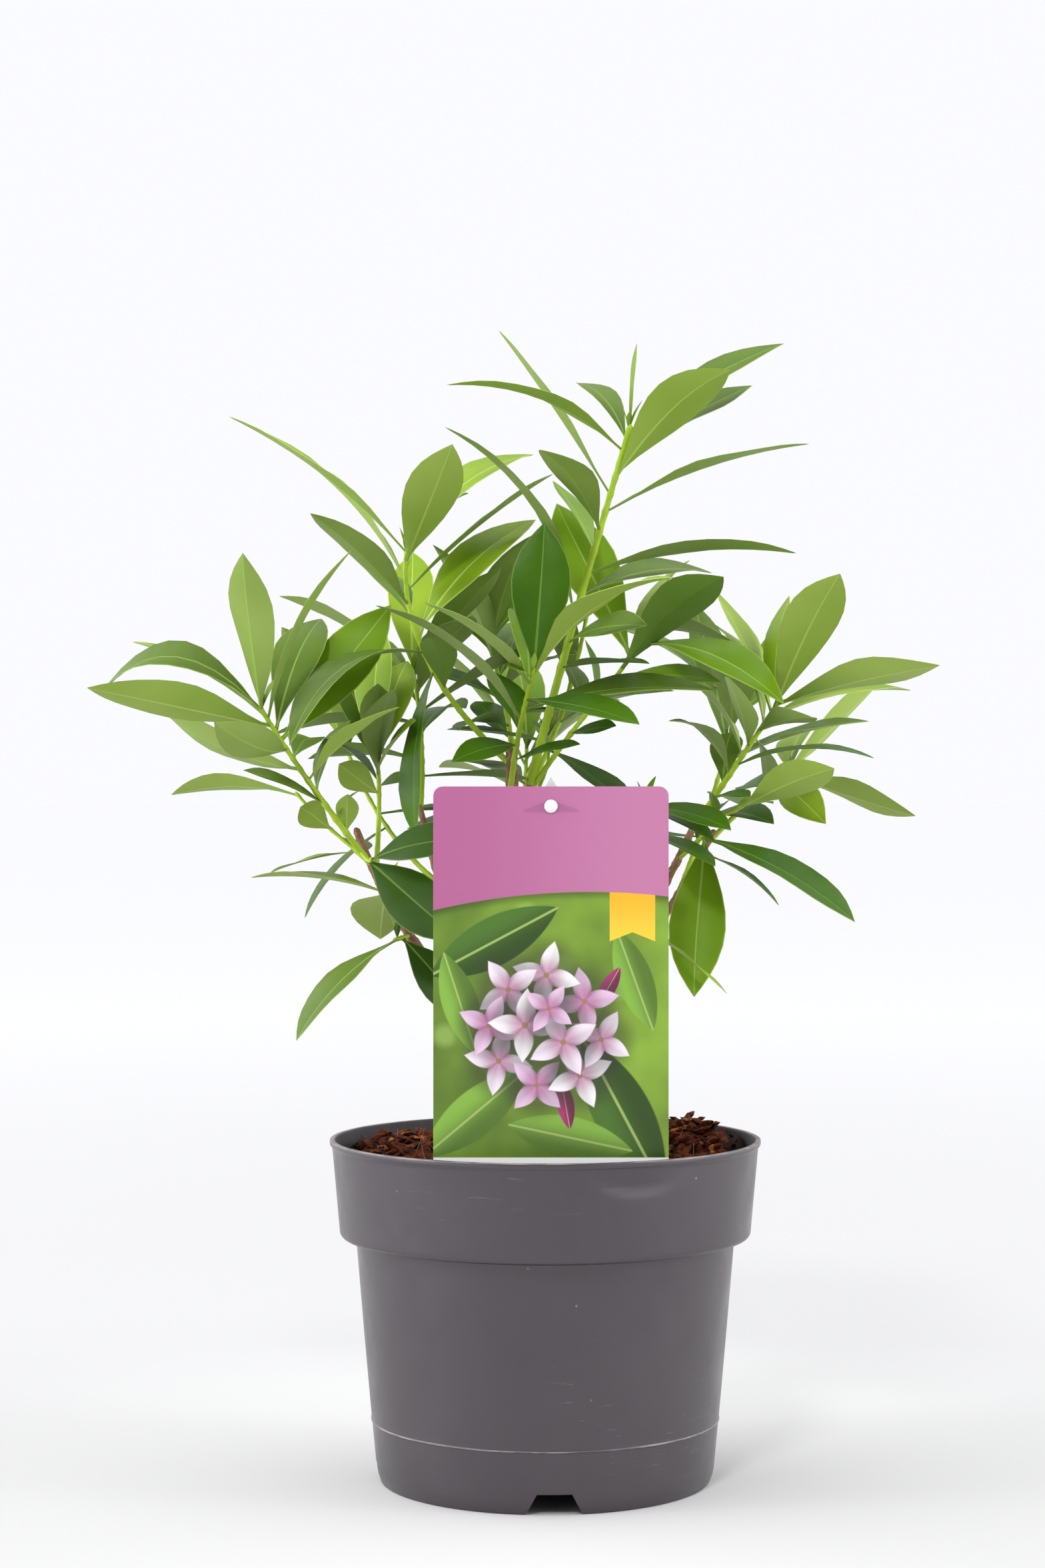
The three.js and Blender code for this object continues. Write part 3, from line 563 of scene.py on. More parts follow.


# %% Pot plastic
# Recycled grey plastic is nearly even in colour. What shows is its faint drift, a satin grain, and pale
# specks and rubs where pots have been stacked. The pale line on the ridge and the lip's top is partly wear
# and partly painted highlight, and the inside of the wall is darkened with painted shade.
RIDGE_HEIGHT = 0.027


def make_pot_plastic():
    material, tree, shader, place = toned_material(
        "pot_plastic",
        (0.022, 0.018, 0.022),
        (0.028, 0.024, 0.028),
        16,
        0.9,
        1400,
        (0.28, 0.38),
        bump=(0.03, 0.0003),
        Specular_IOR_Level=1.0,
        Specular_Tint=(1, 0.93, 1, 1),
    )
    flat = vectors(tree, "MULTIPLY", place, (1, 1, 9))
    rub_line = cloudy(tree, flat, 60.0, 4.0, 0.7)
    rub_place = cloudy(tree, place, 14.0, 1.0)
    rubs = times(tree, between(tree, rub_line, 0.62, 0.72), between(tree, rub_place, 0.55, 0.66))
    lay_over(tree, shader, times(tree, rubs, 0.35), (0.2, 0.19, 0.2))
    specks = node(tree, "ShaderNodeTexVoronoi", {"Vector": place, "Scale": 95.0}).outputs["Distance"]
    chosen = cloudy(tree, place, 37.0, 1.0)
    speck = times(tree, between(tree, specks, 0.07, 0.03), between(tree, chosen, 0.56, 0.6))
    lay_over(tree, shader, times(tree, speck, 0.5), (0.3, 0.29, 0.29))
    height = node(tree, "ShaderNodeSeparateXYZ", {0: place}).outputs["Z"]
    off_ridge = maths(tree, "ABSOLUTE", minus(tree, height, RIDGE_HEIGHT))
    # Pale wear along the mould ridge and the lip's top, which is also a painted highlight on both.
    edges = plus(tree, between(tree, off_ridge, 0.0004, 0.0002), between(tree, height, 0.1493, 0.1495))
    edges = times(tree, edges, between(tree, rub_line, 0.42, 0.6, 0.1, 0.6))
    lay_over(tree, shader, edges, (0.34, 0.3, 0.28))
    # Painted shade: the inside of the wall is darkened, and made rougher.
    outward = vectors(tree, "MULTIPLY", place, (1, 1, 0))
    facing = node(tree, "ShaderNodeTexCoord").outputs["Normal"]
    inside_wall_shade = between(tree, vectors(tree, "DOT_PRODUCT", facing, outward, output=1), 0.0, -0.03)
    lay_over(tree, shader, times(tree, inside_wall_shade, 0.8), (0.012, 0.009, 0.008))
    grained = shader["Roughness"].links[0].from_socket
    tree.links.new(plus(tree, grained, times(tree, inside_wall_shade, 0.45)), shader["Roughness"])
    return material


pot = run_tree(
    pot_blank,
    cutting_tree,
    "nursery_pot",
    Notches=4,
    Notch_Cutter=cutter,
    Notch_Turn=NOTCH_TURN,
    Holes=8,
    Hole_Circle=56 * MM,
    Hole_Radius=4.5 * MM,
    Hole_Height=10.2 * MM,
    Material=make_pot_plastic(),
)
pot.data.shade_smooth()
pot.data.set_sharp_from_angle(angle=math.radians(40))
remove(pot_blank, cutter)
stand_for(pot, "pot", "pot")

# %% [markdown]
# ## The soil
# The pot is filled with bark and coir, heaped at the back right and, lower, at the left. One displaced
# surface would look like mud: bark soil reads as separate chips with dark gaps between them. So a lumpy
# closed bed gives the shape, and a tree of nodes scatters chips over it, each turned and sized at random
# from one fixed seed.


# %% The bed of soil
def soil_height(x, y):
    """The soil's level in millimetres: two heaps, a low crown round the stem, and small waves."""
    heap = 13 * math.exp(-((x - 60) ** 2 + (y - 42) ** 2) / (2 * 30**2))
    crown = 3.2 * math.exp(-(x**2 + y**2) / (2 * 26**2))
    waves = 1.1 * math.sin(0.19 * x + 1) * math.cos(0.16 * y) + 0.7 * math.sin(0.31 * y - 0.2 * x)
    left_heap = 7 * math.exp(-((x + 60) ** 2 + (y - 30) ** 2) / (2 * 28**2))
    return 138.5 + heap + left_heap + crown + waves


SOIL_WALL = [(16.8, 1.8), (20, 11.1), (71, 11.1), (72, 13), (81.4, 108.6), (88.4, 111), (90.6, 132)]
SOIL_SIDES, SOIL_FLOOR = 120, 1.8
TOP_RINGS, TOP_EDGE, TOP_STEP = 39, 90.9, 2.27


def soil_mesh():
    """Rings up the wall and then inwards over the top, closed by a point in the middle of both ends."""
    rings = [(radius, height, False) for radius, height in SOIL_WALL]
    rings += [(TOP_EDGE - TOP_STEP * step, 0, True) for step in range(TOP_RINGS)]
    verts, faces = [Vector((0, 0, SOIL_FLOOR))], []
    for radius, height, top in rings:
        for side in range(SOIL_SIDES):
            turn = 2 * math.pi * side / SOIL_SIDES
            x, y = radius * math.cos(turn), radius * math.sin(turn)
            level = height
            if top:
                place = Vector((x, y, 0))
                level = soil_height(x, y) + 1.6 * noise.noise(place * 0.16) + 1.1 * noise.noise(place * 0.4)
            verts.append(Vector((x, y, level)))
    verts.append(Vector((0, 0, soil_height(0, 0))))
    for side in range(SOIL_SIDES):
        after = (side + 1) % SOIL_SIDES
        faces.append((0, 1 + after, 1 + side))
        for ring in range(len(rings) - 1):
            low, high = 1 + ring * SOIL_SIDES, 1 + (ring + 1) * SOIL_SIDES
            faces.append((low + side, low + after, high + after, high + side))
        last = 1 + (len(rings) - 1) * SOIL_SIDES
        faces.append((last + side, last + after, len(verts) - 1))
    mesh = mesh_of("soil_bed", [v * MM for v in verts], faces)
    mesh.shade_smooth()
    return mesh


soil_bed = new_object("soil_bed", soil_mesh())
print("soil bed:", len(soil_bed.data.polygons), "faces")


# %% One chip of bark and one fibre
def banded(rings, sides):
    """Faces that join each ring of points to the next."""
    return [
        (low + side, low + (side + 1) % sides, low + sides + (side + 1) % sides, low + sides + side)
        for low in range(0, (rings - 1) * sides, sides)
        for side in range(sides)
    ]


def closed_mesh(name, verts, faces):
    """A mesh with its faces turned outwards."""
    mesh = mesh_of(name, verts, faces)
    check = bmesh.new()
    check.from_mesh(mesh)
    bmesh.ops.recalc_face_normals(check, faces=check.faces)
    check.to_mesh(mesh)
    check.free()
    return mesh


CHIP_RINGS = [(-0.5, 0.5, 0.1), (-0.3, 1.0, -0.05), (0.1, 0.85, 0.12), (0.38, 0.95, 0.0), (0.52, 0.45, -0.12)]
CHIP_SIDES, CHIP_WIDTH, CHIP_DEPTH = 6, 0.2, 0.11
FIBRE_STEPS, FIBRE_SIDES, FIBRE_GIRTH = 6, 3, 0.011


def chip_mesh():
    """A split flake of bark, one long, with ragged ends: skewed rings of six between two blunt caps."""
    verts = []
    for ring, (x, girth, skew) in enumerate(CHIP_RINGS):
        for side in range(CHIP_SIDES):
            turn = 2 * math.pi * side / CHIP_SIDES
            ragged = 1 + 0.3 * noise.noise(Vector((ring * 3.1, side * 2.3, 0.5)))
            y = girth * CHIP_WIDTH * math.cos(turn) * ragged
            verts.append((x + skew * math.sin(turn), y, girth * CHIP_DEPTH * math.sin(turn)))
    caps = [tuple(reversed(range(6))), tuple(range(24, 30))]
    return closed_mesh("chip", verts, caps + banded(len(CHIP_RINGS), CHIP_SIDES))


def fibre_mesh():
    """A coir fibre, one long: a hair with three sides that rises in a bow."""
    verts = []
    for step in range(FIBRE_STEPS + 1):
        x = step / FIBRE_STEPS
        for side in range(FIBRE_SIDES):
            turn = 2 * math.pi * side / FIBRE_SIDES
            y = FIBRE_GIRTH * math.cos(turn) + 0.09 * math.sin(4 * x)
            verts.append((x, y, FIBRE_GIRTH * math.sin(turn) + 0.45 * x**1.6))
    caps = [(2, 1, 0), tuple(FIBRE_SIDES * FIBRE_STEPS + side for side in range(FIBRE_SIDES))]
    return closed_mesh("fibre", verts, caps + banded(FIBRE_STEPS + 1, FIBRE_SIDES))


chip, fibre = new_object("chip", chip_mesh()), new_object("fibre", fibre_mesh())
print("one chip:", len(chip.data.polygons), "faces; one fibre:", len(fibre.data.polygons))


# %% Scatter the chips
def make_scatter_tree():
    tree, given, out = geometry_tree(
        "scatter_chips",
        Chip="Object",
        Spacing="Float",
        Density="Float",
        Smallest="Float",
        Largest="Float",
        Within="Float",
        Seed="Int",
        Material="Material",
    )
    facing = node(tree, "GeometryNodeInputNormal").outputs["Normal"]
    upward = node(tree, "ShaderNodeSeparateXYZ", {0: facing}).outputs["Z"]
    flat = vectors(tree, "MULTIPLY", first_of(tree, "GeometryNodeInputPosition"), (1, 1, 0))
    inside = maths(tree, "LESS_THAN", vectors(tree, "LENGTH", flat, output=1), given["Within"])
    bed = {
        "Mesh": given["Geometry"],
        "Selection": times(tree, maths(tree, "GREATER_THAN", upward, 0.45), inside),
        "Distance Min": given["Spacing"],
        "Density Max": given["Density"],
        "Seed": given["Seed"],
    }
    scattered = node(tree, "GeometryNodeDistributePointsOnFaces", bed, distribute_method="POISSON")
    turns = {0: (-0.55, -0.75, 0.0), 1: (0.55, 0.75, 6.283), "Seed": given["Seed"]}
    turn = first_of(tree, "FunctionNodeRandomValue", turns, data_type="FLOAT_VECTOR")
    sizes = {2: given["Smallest"], 3: given["Largest"], "Seed": plus(tree, given["Seed"], 7.0)}
    size = node(tree, "FunctionNodeRandomValue", sizes, data_type="FLOAT").outputs[1]
    chips = copies_of(tree, shape_of(tree, given["Chip"]), scattered.outputs["Points"], turn, Scale=size)
    finish_tree(tree, chips, out, given["Material"])
    return tree


scatter = make_scatter_tree()
print("scatter tree is ready")

# %% Soil finish
# Wet bark is a dark red-brown, and the few dry bits are paler and yellower.
DRY_BARK = (0.3, 0.1, 0.03)


def make_soil_finish(name, dark, light, dry_share):
    material, tree, shader, place = toned_material(
        name, dark, light, 230, 1.0, 1500, (0.7, 0.95), (1, 1, 0.4), (0.5, 0.0006), Specular_IOR_Level=0.12
    )
    patch = cloudy(tree, place, 120.0, 2.0)
    lay_over(tree, shader, between(tree, patch, dry_share, dry_share + 0.05), DRY_BARK)
    return material


# The bed under the chips is wet soil, made near black as painted shade in the gaps between the chips.
wet_bed_and_gap_shade = make_soil_finish("soil_bed_finish", (0.006, 0.003, 0.002), (0.02, 0.008, 0.004), 0.8)
chip_finish = make_soil_finish("bark_chip_finish", (0.01, 0.002, 0.001), (0.13, 0.026, 0.006), 0.62)
crumb_finish = make_soil_finish("bark_crumb_finish", (0.01, 0.004, 0.002), (0.07, 0.022, 0.01), 0.68)
fibre_finish = make_soil_finish("coir_fibre_finish", (0.2, 0.09, 0.04), (0.3, 0.15, 0.07), 0.6)
SCATTERED = [  # piece, shape, finish and seed, then spacing, reach, smallest and largest in millimetres
    ("bark_chips", chip, chip_finish, 3, 4.4, 84, 7, 15),
    ("bark_crumbs", chip, crumb_finish, 8, 3.4, 88, 3, 6),
    ("coir_fibres", fibre, fibre_finish, 12, 13, 78, 8, 17),
]
DENSITY = 1e6
soil_bed.data.materials.append(wet_bed_and_gap_shade)
soil = [soil_bed]
for name, shape, finish, seed, spacing, reach, smallest, largest in SCATTERED:
    piece = run_tree(
        soil_bed,
        scatter,
        name,
        Chip=shape,
        Density=DENSITY,
        Spacing=spacing * MM,
        Within=reach * MM,
        Smallest=smallest * MM,
        Largest=largest * MM,
        Seed=seed,
        Material=finish,
    )
    soil.append(piece)
remove(chip, fibre)
for piece in soil:
    stand_for(piece, "soil", "potting_soil")

# %% [markdown]
# ## The picture label
# A thin printed card, held by a round pin on a clear stake. Its upper band is mauve, and the field
# under it shows a generic spray of pink blossom over blurred green. An image would be the usual way to
# print it, but a pattern worked out in the material stays sharp at any distance: one group draws a
# blossom, another a leaf, and each is placed several times with its own centre, size and turn.

# %% The card's shape
CARD_X, CARD_WIDTH, CARD_FOOT, CARD_TOP, CARD_CORNER = 1.9, 98.5, 140, 305, 4
CARD_FRONT, CARD_THICK = -72.4, 0.8
PIN_HEIGHT, PIN_HOLE, PIN_HEAD = 296.7, 1.7, 2.8


def arc(x, y, radius, start, end, steps):
    """Points on part of a circle, with the angles in degrees."""
    angles = [math.radians(start + (end - start) * step / steps) for step in range(steps + 1)]
    return [(x + radius * math.cos(a), y + radius * math.sin(a)) for a in angles]


def plate_mesh(name, outlines, thick, bevel):
    """A thin plate standing in X and Z from closed outlines, the later ones holes, with eased edges."""
    curve = bpy.data.curves.new(name, "CURVE")
    curve.dimensions = "2D"
    curve.fill_mode = "BOTH"
    curve.extrude = (thick / 2 - bevel) * MM
    curve.bevel_depth = bevel * MM
    curve.bevel_resolution = 1
    curve.offset = -bevel * MM
    for outline in outlines:
        spline = curve.splines.new("POLY")
        spline.points.add(len(outline) - 1)
        spline.use_cyclic_u = True
        for point, (x, z) in zip(spline.points, outline):
            point.co = (x * MM, z * MM, 0, 1)
    flat = new_object(name, curve)
    mesh = baked(flat)
    remove(flat)
    mesh.transform(Matrix.Rotation(math.pi / 2, 4, "X"))
    return mesh


def card_mesh():
    left, right = CARD_X - CARD_WIDTH / 2, CARD_X + CARD_WIDTH / 2
    outline = [(left, CARD_FOOT), (right, CARD_FOOT)]
    outline += arc(right - CARD_CORNER, CARD_TOP - CARD_CORNER, CARD_CORNER, 0, 90, 8)
    outline += arc(left + CARD_CORNER, CARD_TOP - CARD_CORNER, CARD_CORNER, 90, 180, 8)
    hole = arc(CARD_X, PIN_HEIGHT, PIN_HOLE, 360, 15, 23)
    mesh = plate_mesh("label_card_print", [outline, hole], CARD_THICK, 0.12)
    mesh.transform(Matrix.Translation((0, (CARD_FRONT + CARD_THICK / 2) * MM, 0)))
    return mesh


label = new_object("picture_label", card_mesh())
label.data.set_sharp_from_angle(angle=math.radians(30))
print("label card:", [round(v * 1000, 1) for v in label.dimensions], "mm")


# %% A group that draws one blossom, and one that draws one leaf
def make_blossom_print():
    """Four pointed petals round an eye, over the shadow that they cast."""
    tree, given, out = shader_group(
        "blossom_print",
        {
            "Position": (0, 0, 0),
            "Centre": (0, 0, 0),
            "Radius": 0.01,
            "Turn": 0.0,
            "Under": (0, 0, 0, 1),
            "Petal": (0.8, 0.6, 0.75, 1),
        },
        {"Color": "Color"},
    )
    away = vectors(tree, "SUBTRACT", given["Position"], given["Centre"])
    away = vectors(tree, "MULTIPLY", away, (1, 0, 1))
    parts = node(tree, "ShaderNodeSeparateXYZ", {0: away}).outputs
    reach = maths(tree, "DIVIDE", vectors(tree, "LENGTH", away, output=1), given["Radius"])
    angle = plus(tree, maths(tree, "ARCTAN2", parts["Z"], parts["X"]), given["Turn"])
    quarters = maths(tree, "DIVIDE", angle, math.pi / 2)
    aside = times(tree, maths(tree, "PINGPONG", quarters, 0.5), 2.0)
    edge = minus(tree, 1.0, times(tree, maths(tree, "POWER", aside, 0.8), 0.66))
    inside = between(tree, minus(tree, edge, reach), -0.01, 0.05)
    shade = between(tree, reach, 1.25, 0.55, 0.0, 0.6)
    shaded = mix_colours(tree, shade, given["Under"], (0.03, 0.03, 0.02, 1))
    side = minus(tree, quarters, maths(tree, "ROUND", quarters))
    crease = times(tree, between(tree, aside, 1.0, 0.45, 0.5, 1.0), between(tree, side, -0.1, 0.1, 0.82, 1.0))
    rim = times(tree, crease, between(tree, reach, 0.1, 0.9, 0.7, 1.06))
    petal = scaled(tree, given["Petal"], rim)
    flushed = mix_colours(tree, between(tree, reach, 0.6, 0.1, 0.0, 0.55), petal, (0.5, 0.12, 0.3, 1))
    eyed = mix_colours(tree, between(tree, reach, 0.1, 0.06), flushed, (0.3, 0.2, 0.1, 1))
    tree.links.new(mix_colours(tree, inside, shaded, eyed), out["Color"])
    return tree


def make_leaf_print():
    """A pointed blade with a pale midrib, lighter along its upper side."""
    tree, given, out = shader_group(
        "leaf_print",
        {
            "Position": (0, 0, 0),
            "Centre": (0, 0, 0),
            "Length": 0.03,
            "Turn": 0.0,
            "Under": (0, 0, 0, 1),
            "Blade": (0.1, 0.2, 0.03, 1),
        },
        {"Color": "Color"},
    )
    swing = {"Vector": given["Position"], "Center": given["Centre"], "Angle": given["Turn"]}
    turned = node(tree, "ShaderNodeVectorRotate", swing, rotation_type="Y_AXIS").outputs[0]
    away = vectors(tree, "SUBTRACT", turned, given["Centre"])
    parts = node(tree, "ShaderNodeSeparateXYZ", {0: away}).outputs
    along = maths(tree, "DIVIDE", parts["X"], times(tree, given["Length"], 0.5))
    across = maths(tree, "DIVIDE", parts["Z"], given["Length"])
    room = minus(tree, 1.0, times(tree, along, along))
    half = times(tree, maths(tree, "POWER", maths(tree, "MAXIMUM", room, 0.0), 0.9), 0.17)
    off = maths(tree, "ABSOLUTE", across)
    inside = between(tree, minus(tree, half, off), 0.0, 0.012)
    rib = between(tree, off, 0.012, 0.004, 0.0, 0.8)
    lit = between(tree, across, -0.1, 0.12, 0.55, 1.35)
    ribbed = mix_colours(tree, rib, scaled(tree, given["Blade"], lit), (0.38, 0.5, 0.14, 1))
    tree.links.new(mix_colours(tree, inside, given["Under"], ribbed), out["Color"])
    return tree


BLOSSOM_PRINT, LEAF_PRINT = make_blossom_print(), make_leaf_print()
print("groups:", BLOSSOM_PRINT.name, LEAF_PRINT.name)

# %% Print the card
# Centre x and z, length, turn and tone of each printed leaf or bud, and centre, radius and turn of each
# blossom, in millimetres and degrees. The blossoms make one round head among the leaves.
PRINTED_LEAVES = [
    (-22, 240, 62, 28, 0), (32, 168, 74, 118, 0), (-30, 168, 58, 40, 1), (10, 158, 54, -12, 1),
    (37, 224, 46, 110, 1), (-36, 214, 46, 108, 1), (26, 221, 20, 60, 2), (8, 172, 22, 100, 2),
]
PRINTED_BLOSSOMS = [
    (-20, 190, 15, 10), (-4, 180, 14, 44), (14, 184, 15, 66), (23, 199, 14, 30), (16, 215, 15, 80),
    (0, 226, 15, 14), (-16, 220, 15, 55), (-24, 205, 14, 24), (-9, 205, 16, 4), (7, 198, 16, 62),
    (1, 212, 12, 34),
]
BLADES = ((0.05, 0.12, 0.015, 1), (0.16, 0.31, 0.04, 1), (0.3, 0.03, 0.13, 1))
PETALS = ((0.8, 0.7, 0.79, 1), (0.72, 0.5, 0.68, 1), (0.84, 0.8, 0.83, 1))
BAND_FOOT, BAND_ARCH, BAND_MIDDLE, BAND_HALF = 257.5, 6.5, 0.018, 0.06
STRIP_TOP = 0.1498
RIBBON = {"x": 36, "half": 9.5, "foot": 240}


def printed(tree, group, place, under, centre_x, centre_z, turn, **values):
    """A colour with one leaf or blossom drawn over it."""
    centre = (centre_x * MM, CARD_FRONT * MM, centre_z * MM)
    inputs = {"Position": place, "Centre": centre, "Turn": math.radians(turn), "Under": under, **values}
    return node(tree, "ShaderNodeGroup", inputs, node_tree=group).outputs["Color"]


def printed_spray(tree, place):
    """The leaves and blossoms over their blurred ground."""
    ground = {"First": (0.02, 0.05, 0.008, 1), "Second": (0.3, 0.5, 0.05, 1), "Scale": 17, "Contrast": 1.5}
    broad = add_group(tree, DRIFT, place, **ground)["Color"]
    glints = node(tree, "ShaderNodeTexVoronoi", {"Vector": place, "Scale": 42.0}).outputs["Distance"]
    colour = mix_colours(tree, between(tree, glints, 0.3, 0.12, 0.0, 0.35), broad, (0.42, 0.62, 0.16, 1))
    for x, z, length, turn, tone in PRINTED_LEAVES:
        colour = printed(tree, LEAF_PRINT, place, colour, x, z, turn, Length=length * MM, Blade=BLADES[tone])
    for index, (x, z, radius, turn) in enumerate(PRINTED_BLOSSOMS):
        petal = PETALS[index % 3]
        colour = printed(tree, BLOSSOM_PRINT, place, colour, x, z, turn, Radius=radius * MM, Petal=petal)
    return colour


def make_card_print():
    """The spray, then the band's shadow, ribbon, band, painted pin shadow, white foot and plain back."""
    material, tree, shader = new_material("label_print", Roughness=0.35, Specular_IOR_Level=0.4)
    place = object_place(tree)
    x, y, z = node(tree, "ShaderNodeSeparateXYZ", {0: place}).outputs
    tree.links.new(printed_spray(tree, place), shader["Base Color"])
    from_middle = maths(tree, "DIVIDE", minus(tree, x, BAND_MIDDLE), BAND_HALF)
    dip = times(tree, times(tree, from_middle, from_middle), -BAND_ARCH * MM)
    over_band = minus(tree, z, plus(tree, dip, (BAND_FOOT + BAND_ARCH / 2) * MM))
    lay_over(tree, shader, between(tree, over_band, -0.004, 0.0, 0.0, 0.5), (0.01, 0.02, 0.005))
    aside = maths(tree, "ABSOLUTE", minus(tree, x, RIBBON["x"] * MM))
    in_width = between(tree, aside, (RIBBON["half"] + 0.15) * MM, (RIBBON["half"] - 0.15) * MM)
    tail = minus(tree, RIBBON["foot"] * MM, times(tree, aside, 0.4))
    in_length = between(tree, minus(tree, z, plus(tree, tail, 0.004)), -0.00015, 0.00015)
    gold = mix_colours(tree, between(tree, z, 0.262, 0.238), (0.8, 0.42, 0.02, 1), (0.95, 0.58, 0.05, 1))
    lay_over(tree, shader, times(tree, in_width, in_length), gold)
    rightward = between(tree, x, -0.04, 0.045)
    mauve = mix_colours(tree, rightward, (0.41, 0.118, 0.266, 1), (0.486, 0.178, 0.336, 1))
    lay_over(tree, shader, between(tree, over_band, -0.0001, 0.0003), mauve)
    # Painted shadow: a soft wedge on each side of the pin, the shade that its head casts from the side lamps.
    from_pin = maths(tree, "ABSOLUTE", minus(tree, x, CARD_X * MM))
    roof = minus(tree, (PIN_HEIGHT + 2.6) * MM, times(tree, from_pin, 0.35))
    under_roof = between(tree, minus(tree, roof, z), -0.0004, 0.0004)
    over_floor = between(tree, z, (PIN_HEIGHT - 2.9) * MM, (PIN_HEIGHT - 2.1) * MM)
    pin_shadow_wings = times(tree, times(tree, under_roof, over_floor), between(tree, from_pin, 0.0125, 0.0105))
    lay_over(tree, shader, times(tree, pin_shadow_wings, 0.45), (0.3, 0.09, 0.2))
    lay_over(tree, shader, between(tree, z, STRIP_TOP, STRIP_TOP - 0.0002), (0.94, 0.94, 0.95))
    behind = between(tree, y, (CARD_FRONT + 0.25) * MM, (CARD_FRONT + 0.3) * MM)
    lay_over(tree, shader, behind, (0.84, 0.83, 0.84))
    return material


label.data.materials.append(make_card_print())
stand_for(label, "label_card", "label_card")

# %% [markdown]
# The stake is a clear strip with a point at both ends and a thin web down its back, and the pin that holds
# the card is part of it. The pin's head is what shows, so it gets a domed cap.

# %% Stake and pin
STAKE_FRONT, STAKE_THICK, STAKE_HALF = -71.3, 2.2, 3.5
STAKE_FOOT, STAKE_TIP, STAKE_POINT = 62, 309, 12
WEB_HALF, WEB_FOOT, WEB_TOP = 0.5, STAKE_FOOT + 8, 303
PIN_SECTION = [  # radius, height and ease, from its back end forwards
    (0, -1, 0),
    (1.3, -1, 0.1),
    (1.3, 1.4, 0.1),
    (PIN_HEAD, 1.4, 0.15),
    (PIN_HEAD, 1.9, 0.4),
    (1.6, 2.65, 1.2),
    (0, 2.8, 0),
]


def stake_mesh():
    """The strip and the web joined in one mesh."""
    left, right, shoulder = CARD_X - STAKE_HALF, CARD_X + STAKE_HALF, STAKE_TIP - STAKE_POINT / 2
    foot = STAKE_FOOT + STAKE_POINT
    strip = [(CARD_X, STAKE_FOOT), (right, foot), (right, shoulder)]
    strip += [(CARD_X, STAKE_TIP), (left, shoulder), (left, foot)]
    left, right = CARD_X - WEB_HALF, CARD_X + WEB_HALF
    web = [(left, WEB_FOOT), (right, WEB_FOOT), (right, WEB_TOP), (left, WEB_TOP)]
    web_thick = STAKE_THICK - 0.9
    joined = bmesh.new()
    for outline, thick, bevel, depth in ((strip, 1.0, 0.15, 0.5), (web, web_thick, 0.1, 0.9 + web_thick / 2)):
        plate = plate_mesh("plate", [outline], thick, bevel)
        plate.transform(Matrix.Translation((0, (STAKE_FRONT + depth) * MM, 0)))
        joined.from_mesh(plate)
    mesh = bpy.data.meshes.new("label_stake_strip")
    joined.to_mesh(mesh)
    joined.free()
    return mesh


def pin_mesh():
    mesh = turned_mesh("label_pin", eased(PIN_SECTION), 32)
    mesh.transform(Matrix.Rotation(math.pi / 2, 4, "X"))
    mesh.transform(Matrix.Translation(Vector((CARD_X, STAKE_FRONT, PIN_HEIGHT)) * MM))
    return mesh


clear_plastic, tree, shader = new_material(
    "clear_plastic", Base_Color=(0.86, 0.88, 0.88, 1), Transmission_Weight=0.7, IOR=1.45
)
frost = add_group(tree, GRAIN, object_place(tree), Scale=600, Roughness_Low=0.22, Roughness_High=0.4)
tree.links.new(frost["Roughness"], shader["Roughness"])
pin_plastic = toned_material(
    "pin_plastic", (0.82, 0.82, 0.83), (0.76, 0.76, 0.77), 300, 0.6, 1500, (0.25, 0.35), bump=(0.05, 0.0003)
)[0]
for name, mesh, material in (
    ("label_stake_strip", stake_mesh(), clear_plastic),
    ("label_pin", pin_mesh(), pin_plastic),
):
    piece = new_object(name, mesh)
    mesh.materials.append(material)
    mesh.shade_smooth()
    mesh.set_sharp_from_angle(angle=math.radians(35))
    stand_for(piece, "label_stake", "label_stake")

# %% [markdown]
# ## How the shrub grows
# Each limb runs on a curve from its foot on an older limb to its tip, with a bow that says how far it
# stands off the straight line. Leaves sit along a shoot and crowd towards its tip. The same values and
# curves grow the frame's solids, so what is built here fits them. At the back a rule gives each leaf its
# bearing, rise and length. In front these are listed leaf by leaf, which keeps the crown of one certain
# plant, but a change there means new values for every leaf that it touches.

# %% Limbs
TRUNK = {"foot": (-6, 0, 141.3), "tip": (-8, 0, 187), "bow": (0.8, 0, 0)}
TRUNK_TIP, TRUNK_FOOT, TRUNK_FLARE, FLARE_HEIGHT = 4.6, 6, 3.6, 7

# Each bough leaves the limb named first at a share of its length, and has its tip, its bow and two radii.
BOUGHS = {
    "bough_centre": ("trunk", 0.97, (-15.6, 0, 321), (-2, 3, 0), (3.2, 1.9)),
    "bough_left": ("trunk", 0.9, (-83, -2, 285), (-7, -3, -5), (3, 1.8)),
    "bough_right": ("trunk", 0.86, (66, -6, 289), (5, -2, -3), (2.9, 1.7)),
    "bough_back_left": ("trunk", 0.74, (-58, 46, 300), (-4, 3, -6), (2.7, 1.6)),
    "bough_back_right": ("trunk", 0.68, (76, 30, 284), (3, 4, -5), (2.7, 1.6)),
    "bough_back": ("trunk", 0.55, (-14, 54, 318), (0, 6, -6), (2.7, 1.6)),
    "bough_centre_fork": ("bough_centre", 0.7, (-6.8, 4, 308), (2, 1, -1), (2, 1.7)),
}


def bent_curve(foot, tip, bow):
    """A function of a share from 0 to 1 that gives a place on the curve, in millimetres."""
    foot, tip = Vector(foot), Vector(tip)
    middle = (foot + tip) / 2 + 2 * Vector(bow)
    return lambda t: foot * (1 - t) ** 2 + middle * 2 * t * (1 - t) + tip * t * t


curves = {"trunk": bent_curve(*TRUNK.values())}
for name, (parent, at, tip, bow, radii) in BOUGHS.items():
    curves[name] = bent_curve(curves[parent](at), tip, bow)
print("limbs:", ", ".join(curves))

